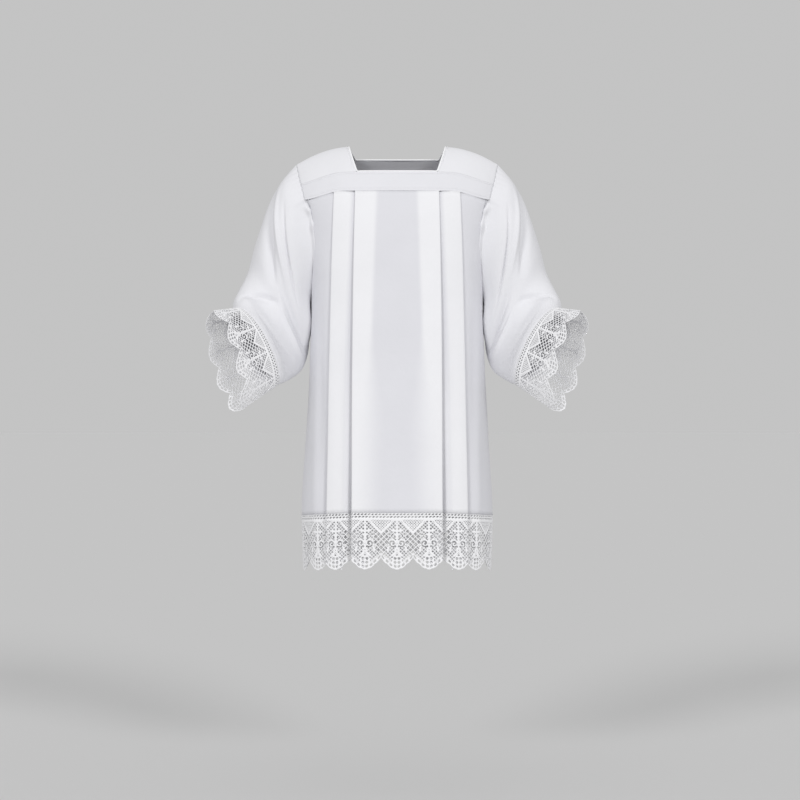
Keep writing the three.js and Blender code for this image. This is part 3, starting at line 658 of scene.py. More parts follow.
def plain_woven_cotton(tree, shader):
    """Plain-woven white cotton and polyester, pressed.

    Matt, with a faint sheen at grazing angles, a fine crossing of threads, and a tone that is
    cooler and greyer where one layer lets the dark through, whiter where three lie together. The tone
    also carries painted light, lighter where the cloth looks lit.
    """
    s = settings()
    cloth = add_node(tree, "ShaderNodeUVMap", {"uv_map": "cloth"}).outputs["UV"]
    layers_and_light = add_node(tree, "ShaderNodeAttribute", {"attribute_name": "layers_and_light"})
    # The tone mixes the colour of one layer with that of three; the mix also holds painted light
    tone = add_node(tree, "ShaderNodeMix", {"data_type": "RGBA"})
    tone.inputs["A"].default_value = (*s.single_layer_colour, 1)
    tone.inputs["B"].default_value = (*s.triple_layer_colour, 1)
    tree.links.new(layers_and_light.outputs["Fac"], tone.inputs["Factor"])
    # Cloudy wear takes up to 2.5 per cent of the light
    limits = {"From Min": 0.3, "From Max": 0.7, "To Min": 0.975, "To Max": 1.0}
    worn = add_node(tree, "ShaderNodeMapRange", limits, Value=noise(tree, cloth, 9.0, 3.0))
    shade = add_node(tree, "ShaderNodeVectorMath", {"operation": "SCALE"}, Scale=worn.outputs["Result"])
    tree.links.new(tone.outputs["Result"], shade.inputs[0])
    tree.links.new(shade.outputs["Vector"], shader.inputs["Base Color"])
    # The texture has 20 radians of its wave in a unit of length, so this is its scale for threads
    # of that spacing
    scale = 2 * math.pi / 20 / (THREAD_SPACING * MM)
    warp, weft = (threads(tree, cloth, direction, scale) for direction in "XY")
    weave = combined(tree, "MULTIPLY", warp, weft)
    slub = noise(tree, cloth, 260.0)
    fine = bumped(tree, 0.25, 0.0002, Height=combined(tree, "ADD", weave, slub))
    crumple = noise(tree, cloth, 26.0, 4.0, 0.6)
    soft = bumped(tree, 0.3, 0.003, Height=crumple, Normal=fine)
    finish_surface(tree, shader, soft, slub, 0.78, 0.9)
    shader.inputs["Sheen Weight"].default_value = 0.15
    shader.inputs["Sheen Roughness"].default_value = 0.5
    shader.inputs["Specular IOR Level"].default_value = 0.3


def cotton_net_lace(tree, shader):
    """Machine-made cotton lace: twisted white thread, matt, with a fine cord texture."""
    shader.inputs["Base Color"].default_value = (*settings().lace_colour, 1)
    shader.inputs["Specular IOR Level"].default_value = 0.25
    cloth = add_node(tree, "ShaderNodeUVMap", {"uv_map": "cloth"}).outputs["UV"]
    twist = threads(tree, cloth, "DIAGONAL", 120.0, 3.0)
    fuzz = noise(tree, cloth, 700.0)
    normal = bumped(tree, 0.5, 0.0004, Height=combined(tree, "ADD", twist, fuzz))
    finish_surface(tree, shader, normal, fuzz, 0.82, 0.95)


def mercerised_cotton(tree, shader):
    """Mercerised white cotton of the binding and the stitching: a little glossier than the cloth."""
    shader.inputs["Base Color"].default_value = (*settings().binding_colour, 1)
    place = add_node(tree, "ShaderNodeTexCoord").outputs["Object"]
    twist = noise(tree, place, 900.0)
    finish_surface(tree, shader, bumped(tree, 0.4, 0.0003, Height=twist), twist, 0.55, 0.7)


def matt_painted_floor(tree, shader):
    """Matt paint of a studio floor."""
    shader.inputs["Base Color"].default_value = (*settings().floor_colour, 1)
    shader.inputs["Roughness"].default_value = 0.9


def panel_columns(step=4.5, fold_steps=6):
    """Side, stretch and share of each column of a whole panel, from the right edge to the left.

    Flat stretches take a column about every step, and folds take a fixed number. In the last
    stretch they lie closer towards the side edge.
    """
    lengths = pleat_stretches(HEM_HEIGHT)[6]
    stretch, share = [0], [0.0]
    for index, length in enumerate(lengths):
        count = fold_steps if index % 2 else max(2, int(round(length / step)))
        stretch += [index] * count
        share += [k / count for k in range(1, count + 1)]
    stretch, share = np.array(stretch), np.array(share)
    share = np.where(stretch == 8, 1 - (1 - share) ** 1.5, share)
    side = np.concatenate((-np.ones(len(stretch) - 1), np.ones(len(stretch))))
    both = np.concatenate((stretch[:0:-1], stretch))
    shares = np.concatenate((share[:0:-1], share))
    return side, both, shares


def build_panel(front):
    """A panel: columns follow the pleats, and rows run from the yoke seam to the lace."""
    points, normals, layers_and_light = body_table(*panel_columns(), front)
    top = seam_height(level_line(points, SEAM_HEIGHT)[:, 0]) - PANEL_GAPS["top"]
    bottom = hem_height(level_line(points, HEM_HEIGHT)[:, 1]) + PANEL_GAPS["hem"]
    heights = top + (bottom - top) * np.linspace(0, 1, 60)[:, None]
    places = at_heights(points, heights)
    name = "front" if front else "back"
    cloth_piece(name + "_panel", places, at_heights(normals, heights),
                cloth_place(run_along(places[-1]), heights), at_heights(layers_and_light, heights))


def yoke_grid(x, over, outside):
    """Points of a grid on the yoke, and its normals towards the outside."""
    points = yoke_points(x, over)
    return points, turned_out(grid_normals(points), outside)


def turned_edge(distance, width=7, height=0.4):
    """Cloth is doubled for a few millimetres beside a seam, which raises it a little."""
    return height * (1 - smoothstep(distance, width - 1.5, width + 1.5))


def build_band(edge, name):
    """A yoke band between a neck edge and the pleats, raised along both its seams."""
    facing = math.copysign(1, edge)
    over = np.linspace(edge, facing * 1.008, 26)[:, None]
    x = (sleeve_head(over) + HEAD_TUCK) * np.linspace(-1, 1, 121)[None, :]
    points, normals = yoke_grid(x, over, (0, -facing, 0.2))
    from_top = distance_from(points, 0)
    from_seams = np.minimum(from_top, distance_from(points, -1))
    lift = turned_edge(from_seams) + RIPPLES["band"] * ripple(x, from_top)
    cloth_piece(name, points + normals * lift[..., None], normals, cloth_place(x, from_top),
                LAYER_AND_LIGHT_TONES["band"])


def build_shoulder(side):
    """A shoulder piece from the back band over the ridge to the front band."""
    over = np.linspace(NECK_BACK["edge"] - 0.03, NECK_FRONT["edge"] + 0.03, 56)[:, None]
    inner, outer = neck_side(over), sleeve_head(over) + HEAD_TUCK
    x = side * (inner + (outer - inner) * np.linspace(0, 1, 41)[None, :])
    points, normals = yoke_grid(x, over, (0, 0, 1))
    from_bands = np.minimum(distance_from(points, 0), distance_from(points, -1))
    lift = turned_edge(outer - np.abs(x)) + RIPPLES["shoulder"] * ripple(x * 1.4, points[..., 1])
    lift = lift - BAND_OVERLAP_DROP * (1 - smoothstep(from_bands, 3, 9))
    points = points + normals * lift[..., None]
    cloth_piece("shoulder_" + hand(side), points, normals, cloth_place(x, points[..., 1]),
                LAYER_AND_LIGHT_TONES["shoulder"])


def ring_points(ring, share, facing):
    """A ring of the right sleeve: share runs from its top to its bottom, facing is 1 or -1."""
    row = RINGS[ring]
    top, drop = row[:3], row[3:6] - row[:3]
    across = unit(STRAIGHT_AHEAD + (FOREARM_ACROSS - STRAIGHT_AHEAD) * row[8])
    turn = share * math.pi
    width = row[6] * np.sin(turn) * (1 + row[7] * np.cos(turn)) * facing
    return top + drop * ((1 - np.cos(turn)) / 2)[..., None] + across * width[..., None]


def armhole(facing):
    """Right armhole on the front or back: the yoke's end, then the panel's edge to the underarm."""
    over = np.linspace(0, facing, 24)
    yoke_end = yoke_points(-sleeve_head(over), over)
    side, stretch, share = np.array([-1.0]), np.array([8]), np.array([1.0])
    points, _, _ = body_table(side, stretch, share, facing > 0)
    heights = np.linspace(SEAM_HEIGHT - SEAM_CORNER_DROP - 22, UNDERARM_HEIGHT, 40)[:, None]
    edge = at_heights(points, heights)[:, 0]
    line = np.concatenate((yoke_end, edge))
    line[-1, 1] = 0
    length = run_along(line)
    return line, length / length[-1]


def fold_push(folds, level, shares, facing):
    """How far the folds move the cloth out, less than 0 for a trough.

    Across its line a fold is a bell with a soft and a sharp side, and along the line it
    swells and fades like half a sine wave.
    """
    push = np.zeros(np.broadcast_shapes(level.shape, shares.shape))
    for ring, share, end_ring, end_share, bow, width, depth, way in folds:
        run = (end_ring - ring) * RING_LENGTH
        drop = (end_share - share) * HALF_ROUND
        length = math.hypot(run, drop)
        along = (level - ring) * RING_LENGTH
        down = (shares - share) * HALF_ROUND
        ahead = np.clip((along * run + down * drop) / length ** 2, 0, 1)
        beside = (along * drop - down * run) / length - bow * 4 * ahead * (1 - ahead)
        profile = bell(beside, np.where(beside > 0, width, width / 2))
        push -= depth * np.sin(math.pi * ahead) * profile * (facing == way)
    return push


def head_gathers(shares, travelled):
    """Small gathers of the upper head: an uneven wave that fades down the sleeve."""
    wave = np.sin(shares * GATHER_RUN + 0.9 * np.sin(shares * 31))
    high = 1 - smoothstep(shares, 0.42, 0.6)
    fade = np.exp(-travelled / GATHER_REACH) * smoothstep(travelled, 1, 6)
    return settings().gather_depth / MM * wave * high * fade


def armhole_roll(shares, facing, travelled):
    """How the cloth rolls over the lower armhole in uneven puckers, which darkens the seam."""
    size, middle, width = ROLL
    roll = smoothstep(shares, 0.34, 0.44) * (1 - smoothstep(shares, 0.92, 1.0))
    pucker = 1 + 0.3 * np.sin(shares * 52) * (1 - smoothstep(shares, 0.5, 0.62))
    way = np.stack((np.full(facing.shape, -0.1), -0.99 * facing, np.zeros(facing.shape)), axis=-1)
    return way * (size * roll * pucker * bell(travelled - middle, width))[..., None]


def body_lean(shares, level):
    """How far the lower inner side leans towards the body."""
    size, share, ring, share_reach, ring_reach = LEAN
    across = bell(shares - share, share_reach)
    return size * across * bell(level - ring, ring_reach) * smoothstep(level, -0.6, 0.2)


def sleeve_grid(folds, rows=96, columns=89):
    """Points and normals of a right sleeve: rings joined by smooth curves, then its folds.

    The first rows are tucked in at the armhole, and rows lie closer together there. Folds and
    gathers push the cloth in or out along its normals. The roll at the armhole and the lean
    against the body move it sideways.
    """
    share = np.linspace(0, 1, columns)
    facing = np.concatenate((np.ones(columns), -np.ones(columns - 2)))
    shares = np.concatenate((share, share[-2:0:-1]))
    head = np.empty((len(shares), 3))
    for way in (1, -1):
        line, place = armhole(way)
        these = facing == way
        head[these] = on_line(line, place, shares[these])
    head[:, 0] -= HEAD_GAP
    rings = [ring_points(k, shares, facing) for k in range(CUFF_RING + 2)]
    position = -1 + (CUFF_RING + 1) * np.linspace(0, 1, rows) ** 1.25
    points = through(np.arange(-1.0, CUFF_RING + 2), np.stack([head] + rings), position)
    inwards = unit(np.array((0.0, 0.0, -200.0)) - head)
    tucked = [head + (aside, 0, 0) + inwards * sunk for aside, sunk in TUCKED_ROWS]
    points = np.concatenate((tucked, points))
    level = np.concatenate(([-1.0, -1.0], position))[:, None]
    normals = turned_out(grid_normals(points, closed=True), points - points.mean(axis=1, keepdims=True))
    travelled = distance_from(points, 0)
    push = fold_push(folds, level, shares, facing) * np.sin(shares * math.pi) ** 0.5
    push = push * smoothstep(travelled, 0, 30) + head_gathers(shares, travelled)
    faint = ripple(220 * shares * facing, travelled + 20 * shares)
    push += RIPPLES["sleeve"] * faint * smoothstep(travelled, 10, 60)
    points[..., 0] += body_lean(shares, level)
    points += armhole_roll(shares, facing, travelled) * (level > -1)[..., None]
    return points + normals * push[..., None], normals


def build_sleeve(side):
    """A sleeve. The left one is built like the right one, with its own folds, and mirrored."""
    points, normals = sleeve_grid(RIGHT_SLEEVE_FOLDS if side < 0 else LEFT_SLEEVE_FOLDS)
    mirror = (-side, 1, 1)
    points, normals = points * mirror, normals * mirror
    around = run_along(np.concatenate((points[60], points[60, :1])))[:-1]
    name = "sleeve_" + hand(side)
    cloth_piece(name, points, normals, cloth_place(around, distance_from(points, 0)),
                LAYER_AND_LIGHT_TONES["sleeve"],
                [name + "_front", name + "_back"], closed=True)


def thread(distance, width):
    """More than 0 inside a thread of that width, for a distance from its middle."""
    return width / 2 - np.abs(distance)


def net(along, depth, period, width):
    """A diamond net: threads of one width on two crossing slants. It repeats along the lace."""
    first = np.mod(along + depth + period / 2, period) - period / 2
    second = np.mod(along - depth + period / 2, period) - period / 2
    nearest = np.minimum(np.abs(first), np.abs(second)) / math.sqrt(2)
    return thread(nearest, width)


def scroll(aside, depth, across, down, pitch, turning):
    """A spiral thread round a centre, which moves out by the pitch in each turn.

    Gives its field and the distance from its centre.
    """
    away = np.hypot(aside - across, depth - down)
    angle = turning * np.arctan2(depth - down, aside - across)
    arm = np.mod(away - pitch * angle / (2 * math.pi), pitch) - pitch / 2
    return thread(arm, 0.44 * pitch), away


def leaf(aside, depth, across, down, tilt, length, width):
    """A pointed oval, more than 0 inside: its length lies along the tilt."""
    ahead = (aside - across) * math.cos(tilt) + (depth - down) * math.sin(tilt)
    beside = (depth - down) * math.cos(tilt) - (aside - across) * math.sin(tilt)
    return width * (1 - (ahead / length) ** 2) - np.abs(beside)


def lace_pattern(along, depth, cell):
    """Lace as a field, more than 0 where there is thread, and the height of its raised cords.

    Top to bottom: a heading with two rows of slanting eyelets and a cord; fine net hanging in
    triangles between the scallops, outlined by a bowed cord; a coarse net under each one; a
    stem with leaves and spiral scrolls on medium net; a rosette of four eyelets; a row of
    eyelets along a double edge cord.
    """
    within = np.mod(along, SCALLOP)
    t = within - SCALLOP / 2
    aside = np.abs(t)
    notch = SCALLOP / 2 - aside
    edge = lace_depth(along) + 2.0 * np.abs(np.sin(5 * math.pi * along / SCALLOP)) - 0.8 - depth
    # Heading
    bars = thread(np.mod(along + depth, 4 * cell) - 2 * cell, 3.5)
    heading = np.maximum.reduce([bars, thread(depth, 2.4), thread(depth - 3 * cell, 2.2),
                                 thread(depth - HEADING_CORD, 4.8)])
    cords = np.maximum(thread(depth - HEADING_CORD, 4.2), thread(depth, 2.4))
    # Hanging triangles of fine net, and the bowed cord round them
    bow = np.minimum(notch / 27.5, 1)
    line = (depth - 47 + 31 * bow ** 1.25) / np.hypot(1, 1.41 * bow ** 0.25)
    outline = np.where(depth > 14, thread(line, 3.0), -1)
    fine = net(along, depth, 3 * cell, 1.4)
    coarse = net(along, depth, 6 * cell, 1.9)
    medium = net(along, depth, 4 * cell, 1.5)
    under = 18 - 0.3 * np.maximum(0, depth - 60) - notch
    ground = np.where(line < 0, fine, np.where(under > 0, coarse, medium))
    diamond = 1 - notch / 4.2 - np.abs(depth - 69) / 5.6
    # Stem with its leaves, an eyelet at each end of it, and the scrolls
    top, foot = 12 * cell, 42 * cell
    figures = [leaf(aside, depth, *shape) for shape in LEAVES]
    figures.append(np.minimum(thread(t, 3.8), thread(depth - STEM_MIDDLE, STEM_LENGTH)))
    for down in (top, foot):
        away = np.hypot(t, depth - down)
        ground = np.where(away < 2.4, -1, ground)
        figures.append(np.minimum(4.6 - away, away - 1.5))
    for across, down, radius, pitch, turning in SCROLLS:
        arm, away = scroll(aside, depth, across, down, pitch, turning)
        ground = np.where(away < radius, -1.5, ground)
        figures.append(np.minimum(arm, radius + 1.4 - away))
    figure = np.maximum.reduce(figures)
    figure = np.where(np.hypot(t, depth - foot) < 1.6, -1, figure)
    # Rosette of four eyelets
    away = np.hypot(t, depth - ROSETTE_DEPTH)
    petals = np.hypot(aside - PETAL_SPACING, np.abs(depth - ROSETTE_DEPTH) - PETAL_SPACING)
    rosette = np.minimum(ROSETTE_RADIUS - away, petals - 3.6)
    # Edge: an outer cord, a row of eyelets and an inner cord
    beads = np.abs(np.mod(along, SCALLOP / 8) - SCALLOP / 16)
    eyelets = np.minimum(thread(edge - 7.2, 8.0), np.maximum(beads - 3.1, np.abs(edge - 7.2) - 2.8))
    outer_cord = np.minimum(thread(edge - 1.9, 3.8), edge)
    inner_cord = thread(edge - 11.6, 2.4)
    field = np.maximum.reduce([ground, figure, outline])
    field = np.where(away < ROSETTE_RADIUS, rosette, field)
    field = np.where(edge < EDGE_DEPTH, np.maximum(eyelets, outer_cord), field)
    field = np.maximum(field, inner_cord)
    field = np.where(diamond > 0, -diamond * 4, field)
    field = np.where(depth < HEADING_DEPTH, heading, field)
    field = np.minimum(field, edge)
    raised = np.maximum.reduce([cords, outline, outer_cord, inner_cord, figure, rosette - 1])
    relief = np.clip(raised, 0, 1.2) / 1.2
    return field, relief


def cut_from_field(field, relief, along, depth):
    """Triangles of the part of a grid where the field is above 0, cut along its zero line.

    Each cell's inside corners and the crossings on its sides, in order round it, make a fan.
    Gives places along and down the lace, relief and triangles.
    """
    rows, columns = field.shape
    u, v = np.meshgrid(along, depth)
    number = np.arange(rows * columns).reshape(rows, columns)
    inside = field > 0

    def crossing(values, axis):
        other = np.roll(values, -1, axis=axis)
        here, there = field, np.roll(field, -1, axis=axis)
        share = np.clip(here / np.where(here == there, 1, here - there), 0.08, 0.92)
        return values + (other - values) * share

    count = rows * columns
    all_u = np.concatenate((u.ravel(), crossing(u, 1).ravel(), crossing(u, 0).ravel()))
    all_v = np.concatenate((v.ravel(), crossing(v, 1).ravel(), crossing(v, 0).ravel()))
    all_relief = np.concatenate((relief.ravel(), np.zeros(2 * count)))
    near, far = slice(None, -1), slice(1, None)
    places = ((near, near), (near, far), (far, far), (far, near))
    corners = [number[place] for place in places]
    sides = [count + corners[0], 2 * count + corners[1], count + corners[3], 2 * count + corners[0]]
    code = sum(inside[place].astype(int) << k for k, place in enumerate(places))
    triangles = []
    for kind in range(1, 16):
        cells = code == kind
        if not cells.any():
            continue
        ring = []
        for k in range(4):
            here, there = kind >> k & 1, kind >> (k + 1) % 4 & 1
            if here:
                ring.append(corners[k][cells])
            if here != there:
                ring.append(sides[k][cells])
        for k in range(1, len(ring) - 1):
            triangles.append(np.stack((ring[0], ring[k], ring[k + 1]), axis=1))
    triangles = np.concatenate(triangles)
    used, triangles = np.unique(triangles, return_inverse=True)
    return all_u[used], all_v[used], all_relief[used], triangles.reshape(-1, 3)


def lace_piece(name, start, end, surface, nodes):
    """A strip of lace between two distances along it, on a surface of distance and depth."""
    s = settings()
    step = SCALLOP / round(SCALLOP * MM / s.lace_grid)
    inner = step * np.arange(math.ceil(start / step + 0.3), math.floor(end / step - 0.3) + 1)
    along = np.concatenate(([start], inner, [end]))
    depth = np.arange(0, LACE_TIP + 2 * step, step)
    field, relief = lace_pattern(*np.meshgrid(along, depth), step)
    selvedge = np.minimum(along - start, end - along) < SELVEDGE
    inside = lace_depth(along)[None, :] > depth[:, None]
    field = np.where(selvedge[None, :] & inside, 1, field)
    u, v, lift, triangles = cut_from_field(field, relief, along, depth)
    points, normals = surface(u, v)
    points = points + normals * (lift * s.lace_relief / MM)[:, None]
    a, b, c = points[triangles].transpose(1, 0, 2)
    turned = np.cross(b - a, c - a)
    if np.sum(turned * normals[triangles[:, 0]]) < 0:
        triangles = triangles[:, ::-1]
    piece = new_mesh(name + "_net", points, triangles, np.stack((u, v), axis=1))
    thicken(piece, s.lace_thickness)
    finish_piece(piece, cotton_net_lace, nodes)


def build_hem_lace(front):
    """Hem lace: distance along it is the cloth's own length at the hem, round every pleat."""
    lengths = pleat_stretches(HEM_HEIGHT)[6]
    starts = np.concatenate(([0], np.cumsum(lengths)))
    half = starts[-1]
    fine = np.arange(-half, half + HEM_STEP, HEM_STEP)
    away = np.minimum(np.abs(fine), half)
    stretch = np.clip(np.searchsorted(starts, away, side="right") - 1, 0, 8)
    share = (away - starts[stretch]) / lengths[stretch]
    points, normals, _ = body_table(np.where(fine < 0, -1.0, 1.0), stretch, share, front)
    tops = hem_height(level_line(points, HEM_HEIGHT)[:, 1]) + LACE_OVERLAP
    middle = SCALLOP / 2

    def surface(along, depth):
        """The cloth's surface run on below the hem. The heading lies over the panel's edge."""
        place = np.clip((along - middle + half) / HEM_STEP, 0, len(fine) - 1.001)
        column = place.astype(int)
        mix = (place - column)[:, None]
        height = np.interp(place, np.arange(len(fine)), tops) - depth
        near, ways = (at_heights(table, height, column) * (1 - mix)
                      + at_heights(table, height, column + 1) * mix for table in (points, normals))
        ways = unit(ways)
        return near + ways * (1 - smoothstep(depth, 3, 9))[:, None], ways

    name = "front" if front else "back"
    lace_piece("hem_lace_" + name, middle - half + 0.2, middle + half - 0.2, surface,
               ["hem_lace_" + name])


def build_cuff_lace(side):
    """Cuff lace all round a sleeve: it runs on from the last ring towards the hand."""
    share = np.linspace(0, 1, 241)
    facing = np.concatenate((np.ones(241), -np.ones(240)))
    shares = np.concatenate((share, share[-2::-1]))
    start_ring = ring_points(CUFF_RING, shares, facing)
    end_ring = ring_points(CUFF_RING + 1, shares, facing)
    middle = (start_ring.mean(axis=0) + end_ring.mean(axis=0)) / 2
    whole = 2 * CUFF_SCALLOPS * SCALLOP
    length = run_along(start_ring)
    length = length / length[-1] * whole
    mirror = (-side, 1, 1)

    def centre_at(along, depth):
        where = np.mod(along, whole)
        near, far = on_line(start_ring, length, where), on_line(end_ring, length, where)
        return near + (far - near) * ((depth + 0.3) / LACE_TIP)[:, None]

    def surface(along, depth):
        """A slanting tube from ring to ring, which swells in a slow wave towards its edge."""
        centre = centre_at(along, depth)
        across = centre_at(along + 1, depth) - centre_at(along - 1, depth)
        down = centre_at(along, depth + 1) - centre_at(along, depth - 1)
        normals = turned_out(unit(np.cross(down, across)), centre - middle)
        wave = 1.6 * np.sin(along * 2 * math.pi / SCALLOP + 0.8) * (depth + 0.3) / LACE_TIP
        return (centre + normals * wave[:, None]) * mirror, normals * mirror

    name = "cuff_lace_" + hand(side)
    lace_piece(name, 0.2, whole - 0.2, surface, [name + "_front", name + "_back"])


def neck_line(inset, count=40):
    """Closed line round the neck edge, moved into the opening and rounded at its corners."""
    front, back = NECK_FRONT["edge"], NECK_BACK["edge"]
    over = np.linspace(back, front, count)
    across = np.linspace(-1, 1, count)[1:-1]
    right = yoke_points(-neck_side(over), over) + (inset, 0, 0)
    left = yoke_points(neck_side(over), over)[::-1] - (inset, 0, 0)
    front_edge = yoke_points(across * (neck_side(front) - inset), front) + (0, 0, inset)
    back_edge = yoke_points(-across * (neck_side(back) - inset), back) + (0, 0, inset)
    line = np.concatenate((right, front_edge, left, back_edge))
    return (np.roll(line, 1, axis=0) + 2 * line + np.roll(line, -1, axis=0)) / 4


def tube_object(name, line, radius, sides=10):
    """A closed tube: a circle carried along a closed line."""
    ahead = unit(np.roll(line, -1, axis=0) - np.roll(line, 1, axis=0))
    sideways = unit(np.cross((0.0, 0.0, 1.0), ahead))
    upwards = np.cross(ahead, sideways)
    angle = np.linspace(0, 2 * math.pi, sides, endpoint=False)[None, :, None]
    ways = sideways[:, None] * np.cos(angle) + upwards[:, None] * np.sin(angle)
    points = line[:, None] + ways * radius
    points = np.concatenate((points, points[:1]))
    ways = np.concatenate((ways, ways[:1]))
    return grid_object(name, points, ways, closed=True)


def stitch_points(line, normals, pitch, length, radius):
    """Stitches along a line: each is a six-cornered bead, two ends and a square waist."""
    travelled = run_along(line)
    middles = np.arange(pitch, travelled[-1] - pitch, pitch)
    before, after = (on_line(line, travelled, middles + step) for step in (-0.5, 0.5))
    ahead = unit(after - before)
    out = unit(on_line(normals, travelled, middles))
    beside = np.cross(ahead, out)
    centre = on_line(line, travelled, middles) + out * radius * 0.6
    reach = (-ahead * length / 2, ahead * length / 2,
             beside * radius, out * radius, -beside * radius, -out * radius)
    points = np.stack([centre + way for way in reach], axis=1)
    half = [(0, 3, 2), (0, 4, 3), (0, 5, 4), (0, 2, 5)]
    shape = np.array(half + [(1, 2, 3), (1, 3, 4), (1, 4, 5), (1, 5, 2)])
    faces = (np.arange(len(middles)) * 6)[:, None, None] + shape
    return points.reshape(-1, 3), faces.reshape(-1, 3)


class SurpliceSettings(bpy.types.PropertyGroup):
    """Sizes and colours of the garment and its stage"""
    cloth_thickness: bpy.props.FloatProperty(
        name="Cloth thickness", description="Thickness of the woven cloth", default=0.0006,
        min=0.0002, max=0.0015, unit="LENGTH", precision=5)
    lace_thickness: bpy.props.FloatProperty(
        name="Lace thickness", description="Thickness of the lace thread", default=0.0008,
        min=0.0003, max=0.0015, unit="LENGTH", precision=5)
    lace_relief: bpy.props.FloatProperty(
        name="Cord height", description="How far the lace's cords stand out", default=0.0005,
        min=0, max=0.002, unit="LENGTH", precision=5)
    lace_grid: bpy.props.FloatProperty(
        name="Lace detail", description="Width of the cells that the lace is cut from", default=0.00208,
        min=0.0015, max=0.004, unit="LENGTH", precision=5)
    gather_depth: bpy.props.FloatProperty(
        name="Gather height", description="Height of the gathers at the sleeve heads", default=0.0012,
        min=0, max=0.004, unit="LENGTH", precision=5)
    camera_distance: bpy.props.FloatProperty(
        name="Camera distance", description="From the camera to the middle of the garment", default=5.5,
        min=2, max=20, unit="LENGTH")
    floor_drop: bpy.props.FloatProperty(
        name="Floor drop", description="Height of the shoulders above the floor", default=1.551,
        min=1.1, max=2.5, unit="LENGTH")
    single_layer_colour: bpy.props.FloatVectorProperty(
        name="Single cloth", description="Colour of one layer of cloth", subtype="COLOR",
        default=hex_colour("DBDBE0"), min=0, max=1)
    triple_layer_colour: bpy.props.FloatVectorProperty(
        name="Layered cloth", description="Colour where three layers lie together", subtype="COLOR",
        default=hex_colour("EAEAED"), min=0, max=1)
    lace_colour: bpy.props.FloatVectorProperty(
        name="Lace", description="Colour of the lace thread", subtype="COLOR",
        default=hex_colour("EFEFF1"), min=0, max=1)
    binding_colour: bpy.props.FloatVectorProperty(
        name="Binding", description="Colour of the neck binding and the stitches", subtype="COLOR",
        default=hex_colour("F6F6F8"), min=0, max=1)
    floor_colour: bpy.props.FloatVectorProperty(
        name="Floor", description="Colour of the studio floor", subtype="COLOR",
        default=hex_colour("D7D7D7"), min=0, max=1)


class SURPLICE_OT_stage(bpy.types.Operator):
    """Studio floor, soft lights, white surroundings and the camera"""
    bl_idname = "surplice.stage"
    bl_label = "Stage and Camera"

    def execute(self, context):
        s = settings()
        scene = context.scene
        scene.view_settings.view_transform = "Standard"
        lens_data = bpy.data.cameras.new("camera")
        lens_data.sensor_width = 36
        lens_data.lens = lens_data.sensor_width * s.camera_distance / VIEW_WIDTH
        camera = bpy.data.objects.new("camera", lens_data)
        camera.location = (VIEW_MIDDLE[0], -s.camera_distance, VIEW_MIDDLE[1])
        camera.rotation_euler = (math.pi / 2, 0, 0)
        scene.collection.objects.link(camera)
        scene.camera = camera
        world = bpy.data.worlds.new("white studio")
        scene.world = world
        world.use_nodes = True
        background = world.node_tree.nodes["Background"]
        background.inputs["Color"].default_value = (1, 1, 1, 1)
        background.inputs["Strength"].default_value = 0.55
        self.add_sun("left key", -30, 24, 16, 0.97)
        self.add_sun("right key", 30, 24, 16, 0.97)
        self.add_floor(s)
        return {"FINISHED"}

    @staticmethod
    def add_sun(name, aside, height, spread, power):
        """A broad soft light. Degrees aside from the front, above the level, and its spread."""
        light = bpy.data.lights.new(name, "SUN")
        light.energy = power
        light.angle = math.radians(spread)
        lamp = bpy.data.objects.new(name, light)
        lamp.location = (-2, -3, 2)
        lamp.rotation_euler = (math.radians(90 - height), 0, math.radians(aside))
        bpy.context.scene.collection.objects.link(lamp)

    @staticmethod
    def add_floor(s):
        """A round painted floor, wide enough to pass behind every view."""
        radius = 60
        turn = np.linspace(0, 2 * math.pi, 96, endpoint=False)
        rim = np.stack((radius * np.cos(turn), radius * np.sin(turn), np.zeros(96)), axis=1)
        points = np.concatenate((rim, [(0, 0, 0)])) + (0, 0, -s.floor_drop)
        number = np.arange(96)
        faces = np.stack((number, np.roll(number, -1), np.full(96, 96)), axis=1)
        floor = new_mesh("studio_floor", points / MM, faces)
        floor.data.materials.append(material_of(matt_painted_floor))


class SURPLICE_OT_yoke(bpy.types.Operator):
    """Front and back yoke bands and both shoulder pieces"""
    bl_idname = "surplice.yoke"
    bl_label = "Yoke"

    def execute(self, context):
        build_shoulder(-1)
        build_shoulder(1)
        build_band(NECK_FRONT["edge"], "front_yoke")
        build_band(NECK_BACK["edge"], "back_yoke")
        return {"FINISHED"}


class SURPLICE_OT_binding(bpy.types.Operator):
    """Bright round binding of the neck edge"""
    bl_idname = "surplice.binding"
    bl_label = "Neck Binding"

    def execute(self, context):
        piece = tube_object("neck_binding_cord", neck_line(1.6), 2.0)
        finish_piece(piece, mercerised_cotton, ["neck_binding"])
        return {"FINISHED"}


class SURPLICE_OT_panels(bpy.types.Operator):
    """Pleated front and back panels"""
    bl_idname = "surplice.panels"
    bl_label = "Pleated Panels"

    def execute(self, context):
        build_panel(True)
        build_panel(False)
        return {"FINISHED"}


class SURPLICE_OT_sleeves(bpy.types.Operator):
    """Both wide sleeves with their folds and gathers"""
    bl_idname = "surplice.sleeves"
    bl_label = "Sleeves"

    def execute(self, context):
        build_sleeve(-1)
        build_sleeve(1)
        return {"FINISHED"}


class SURPLICE_OT_hem_lace(bpy.types.Operator):
    """Lace of the hem, front and back"""
    bl_idname = "surplice.hem_lace"
    bl_label = "Hem Lace"

    def execute(self, context):
        build_hem_lace(True)
        build_hem_lace(False)
        return {"FINISHED"}


class SURPLICE_OT_cuff_lace(bpy.types.Operator):
    """Lace of both cuffs"""
    bl_idname = "surplice.cuff_lace"
    bl_label = "Cuff Lace"

    def execute(self, context):
        build_cuff_lace(-1)
        build_cuff_lace(1)
        return {"FINISHED"}


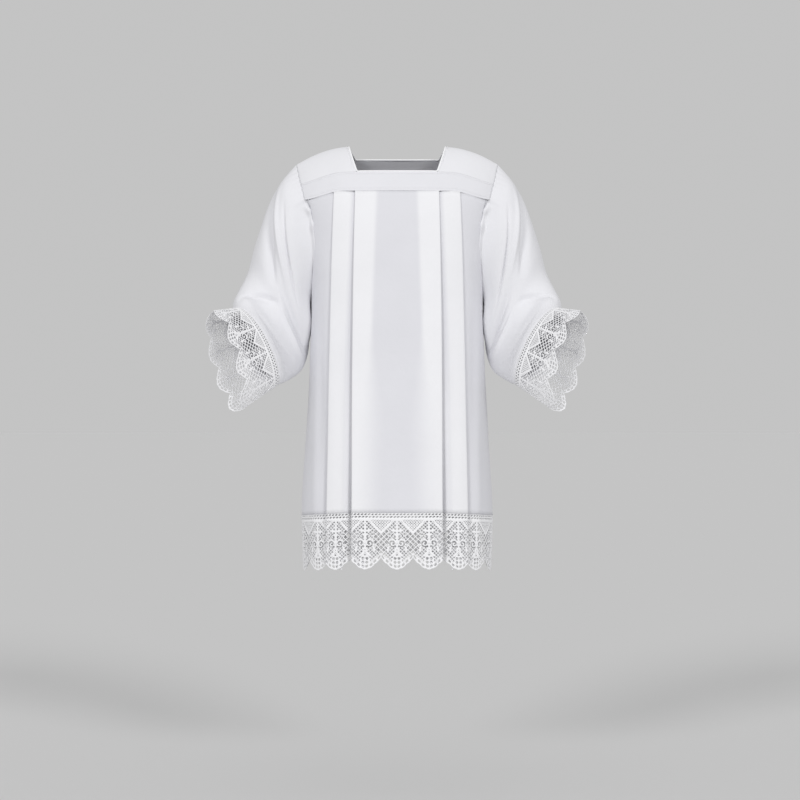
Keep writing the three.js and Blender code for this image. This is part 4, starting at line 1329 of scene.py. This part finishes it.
class SURPLICE_OT_stitching(bpy.types.Operator):
    """Rows of stitches beside the seams of the yoke and round the neck"""
    bl_idname = "surplice.stitching"
    bl_label = "Stitching"

    def execute(self, context):
        front, back = NECK_FRONT["edge"], NECK_BACK["edge"]
        lines = []
        for facing, edge in ((1, front), (-1, back)):
            for over in (facing * 0.972, edge + facing * 0.03):
                x = np.linspace(-1, 1, 160) * (sleeve_head(over) - 4)
                lines.append(self.on_yoke(x, over, (0, -facing, 0.3)))
        for side in (-1, 1):
            over = np.linspace(-0.98, 0.98, 160)
            lines.append(self.on_yoke(side * (sleeve_head(over) - 3.2), over, (side * 0.2, 0, 1)))
            over = np.linspace(back, front, 80)
            lines.append(self.on_yoke(side * (neck_side(over) + 4), over, (0, 0, 1)))
        points, faces, count = [], [], 0
        for line, normals in lines:
            these, shape = stitch_points(line, normals, pitch=3.4, length=2.6, radius=0.45)
            points.append(these)
            faces.append(shape + count)
            count += len(these)
        piece = new_mesh("yoke_stitches", np.concatenate(points), np.concatenate(faces))
        finish_piece(piece, mercerised_cotton)
        return {"FINISHED"}

    @staticmethod
    def on_yoke(x, over, outside):
        """A line on the yoke's raised cloth, with its normals from nearby points."""
        points = yoke_points(x, over)
        step_x = yoke_points(x + 0.5, over) - yoke_points(x - 0.5, over)
        step_over = yoke_points(x, over + 0.002) - yoke_points(x, over - 0.002)
        normals = turned_out(unit(np.cross(step_x, step_over)), outside)
        return points + normals * STITCH_LIFT, normals


STEPS = (
    SURPLICE_OT_stage,
    SURPLICE_OT_yoke,
    SURPLICE_OT_binding,
    SURPLICE_OT_panels,
    SURPLICE_OT_sleeves,
    SURPLICE_OT_hem_lace,
    SURPLICE_OT_cuff_lace,
    SURPLICE_OT_stitching,
)


class SURPLICE_PT_panel(bpy.types.Panel):
    """Sidebar panel with the garment's sizes, colours and building steps"""
    bl_idname = "SURPLICE_PT_panel"
    bl_label = "Surplice"
    bl_space_type = "VIEW_3D"
    bl_region_type = "UI"
    bl_category = "Surplice"

    def draw(self, context):
        column = self.layout.column()
        for name in SurpliceSettings.__annotations__:
            column.prop(context.scene.surplice, name)
        for step in STEPS:
            column.operator(step.bl_idname)


CLASSES = (SurpliceSettings, *STEPS, SURPLICE_PT_panel)


def register():
    for made in CLASSES:
        bpy.utils.register_class(made)
    bpy.types.Scene.surplice = bpy.props.PointerProperty(type=SurpliceSettings)


def unregister():
    del bpy.types.Scene.surplice
    for made in reversed(CLASSES):
        bpy.utils.unregister_class(made)


def main():
    register()
    for step in STEPS:
        group, name = step.bl_idname.split(".")
        getattr(getattr(bpy.ops, group), name)()


if __name__ == "__main__":
    main()
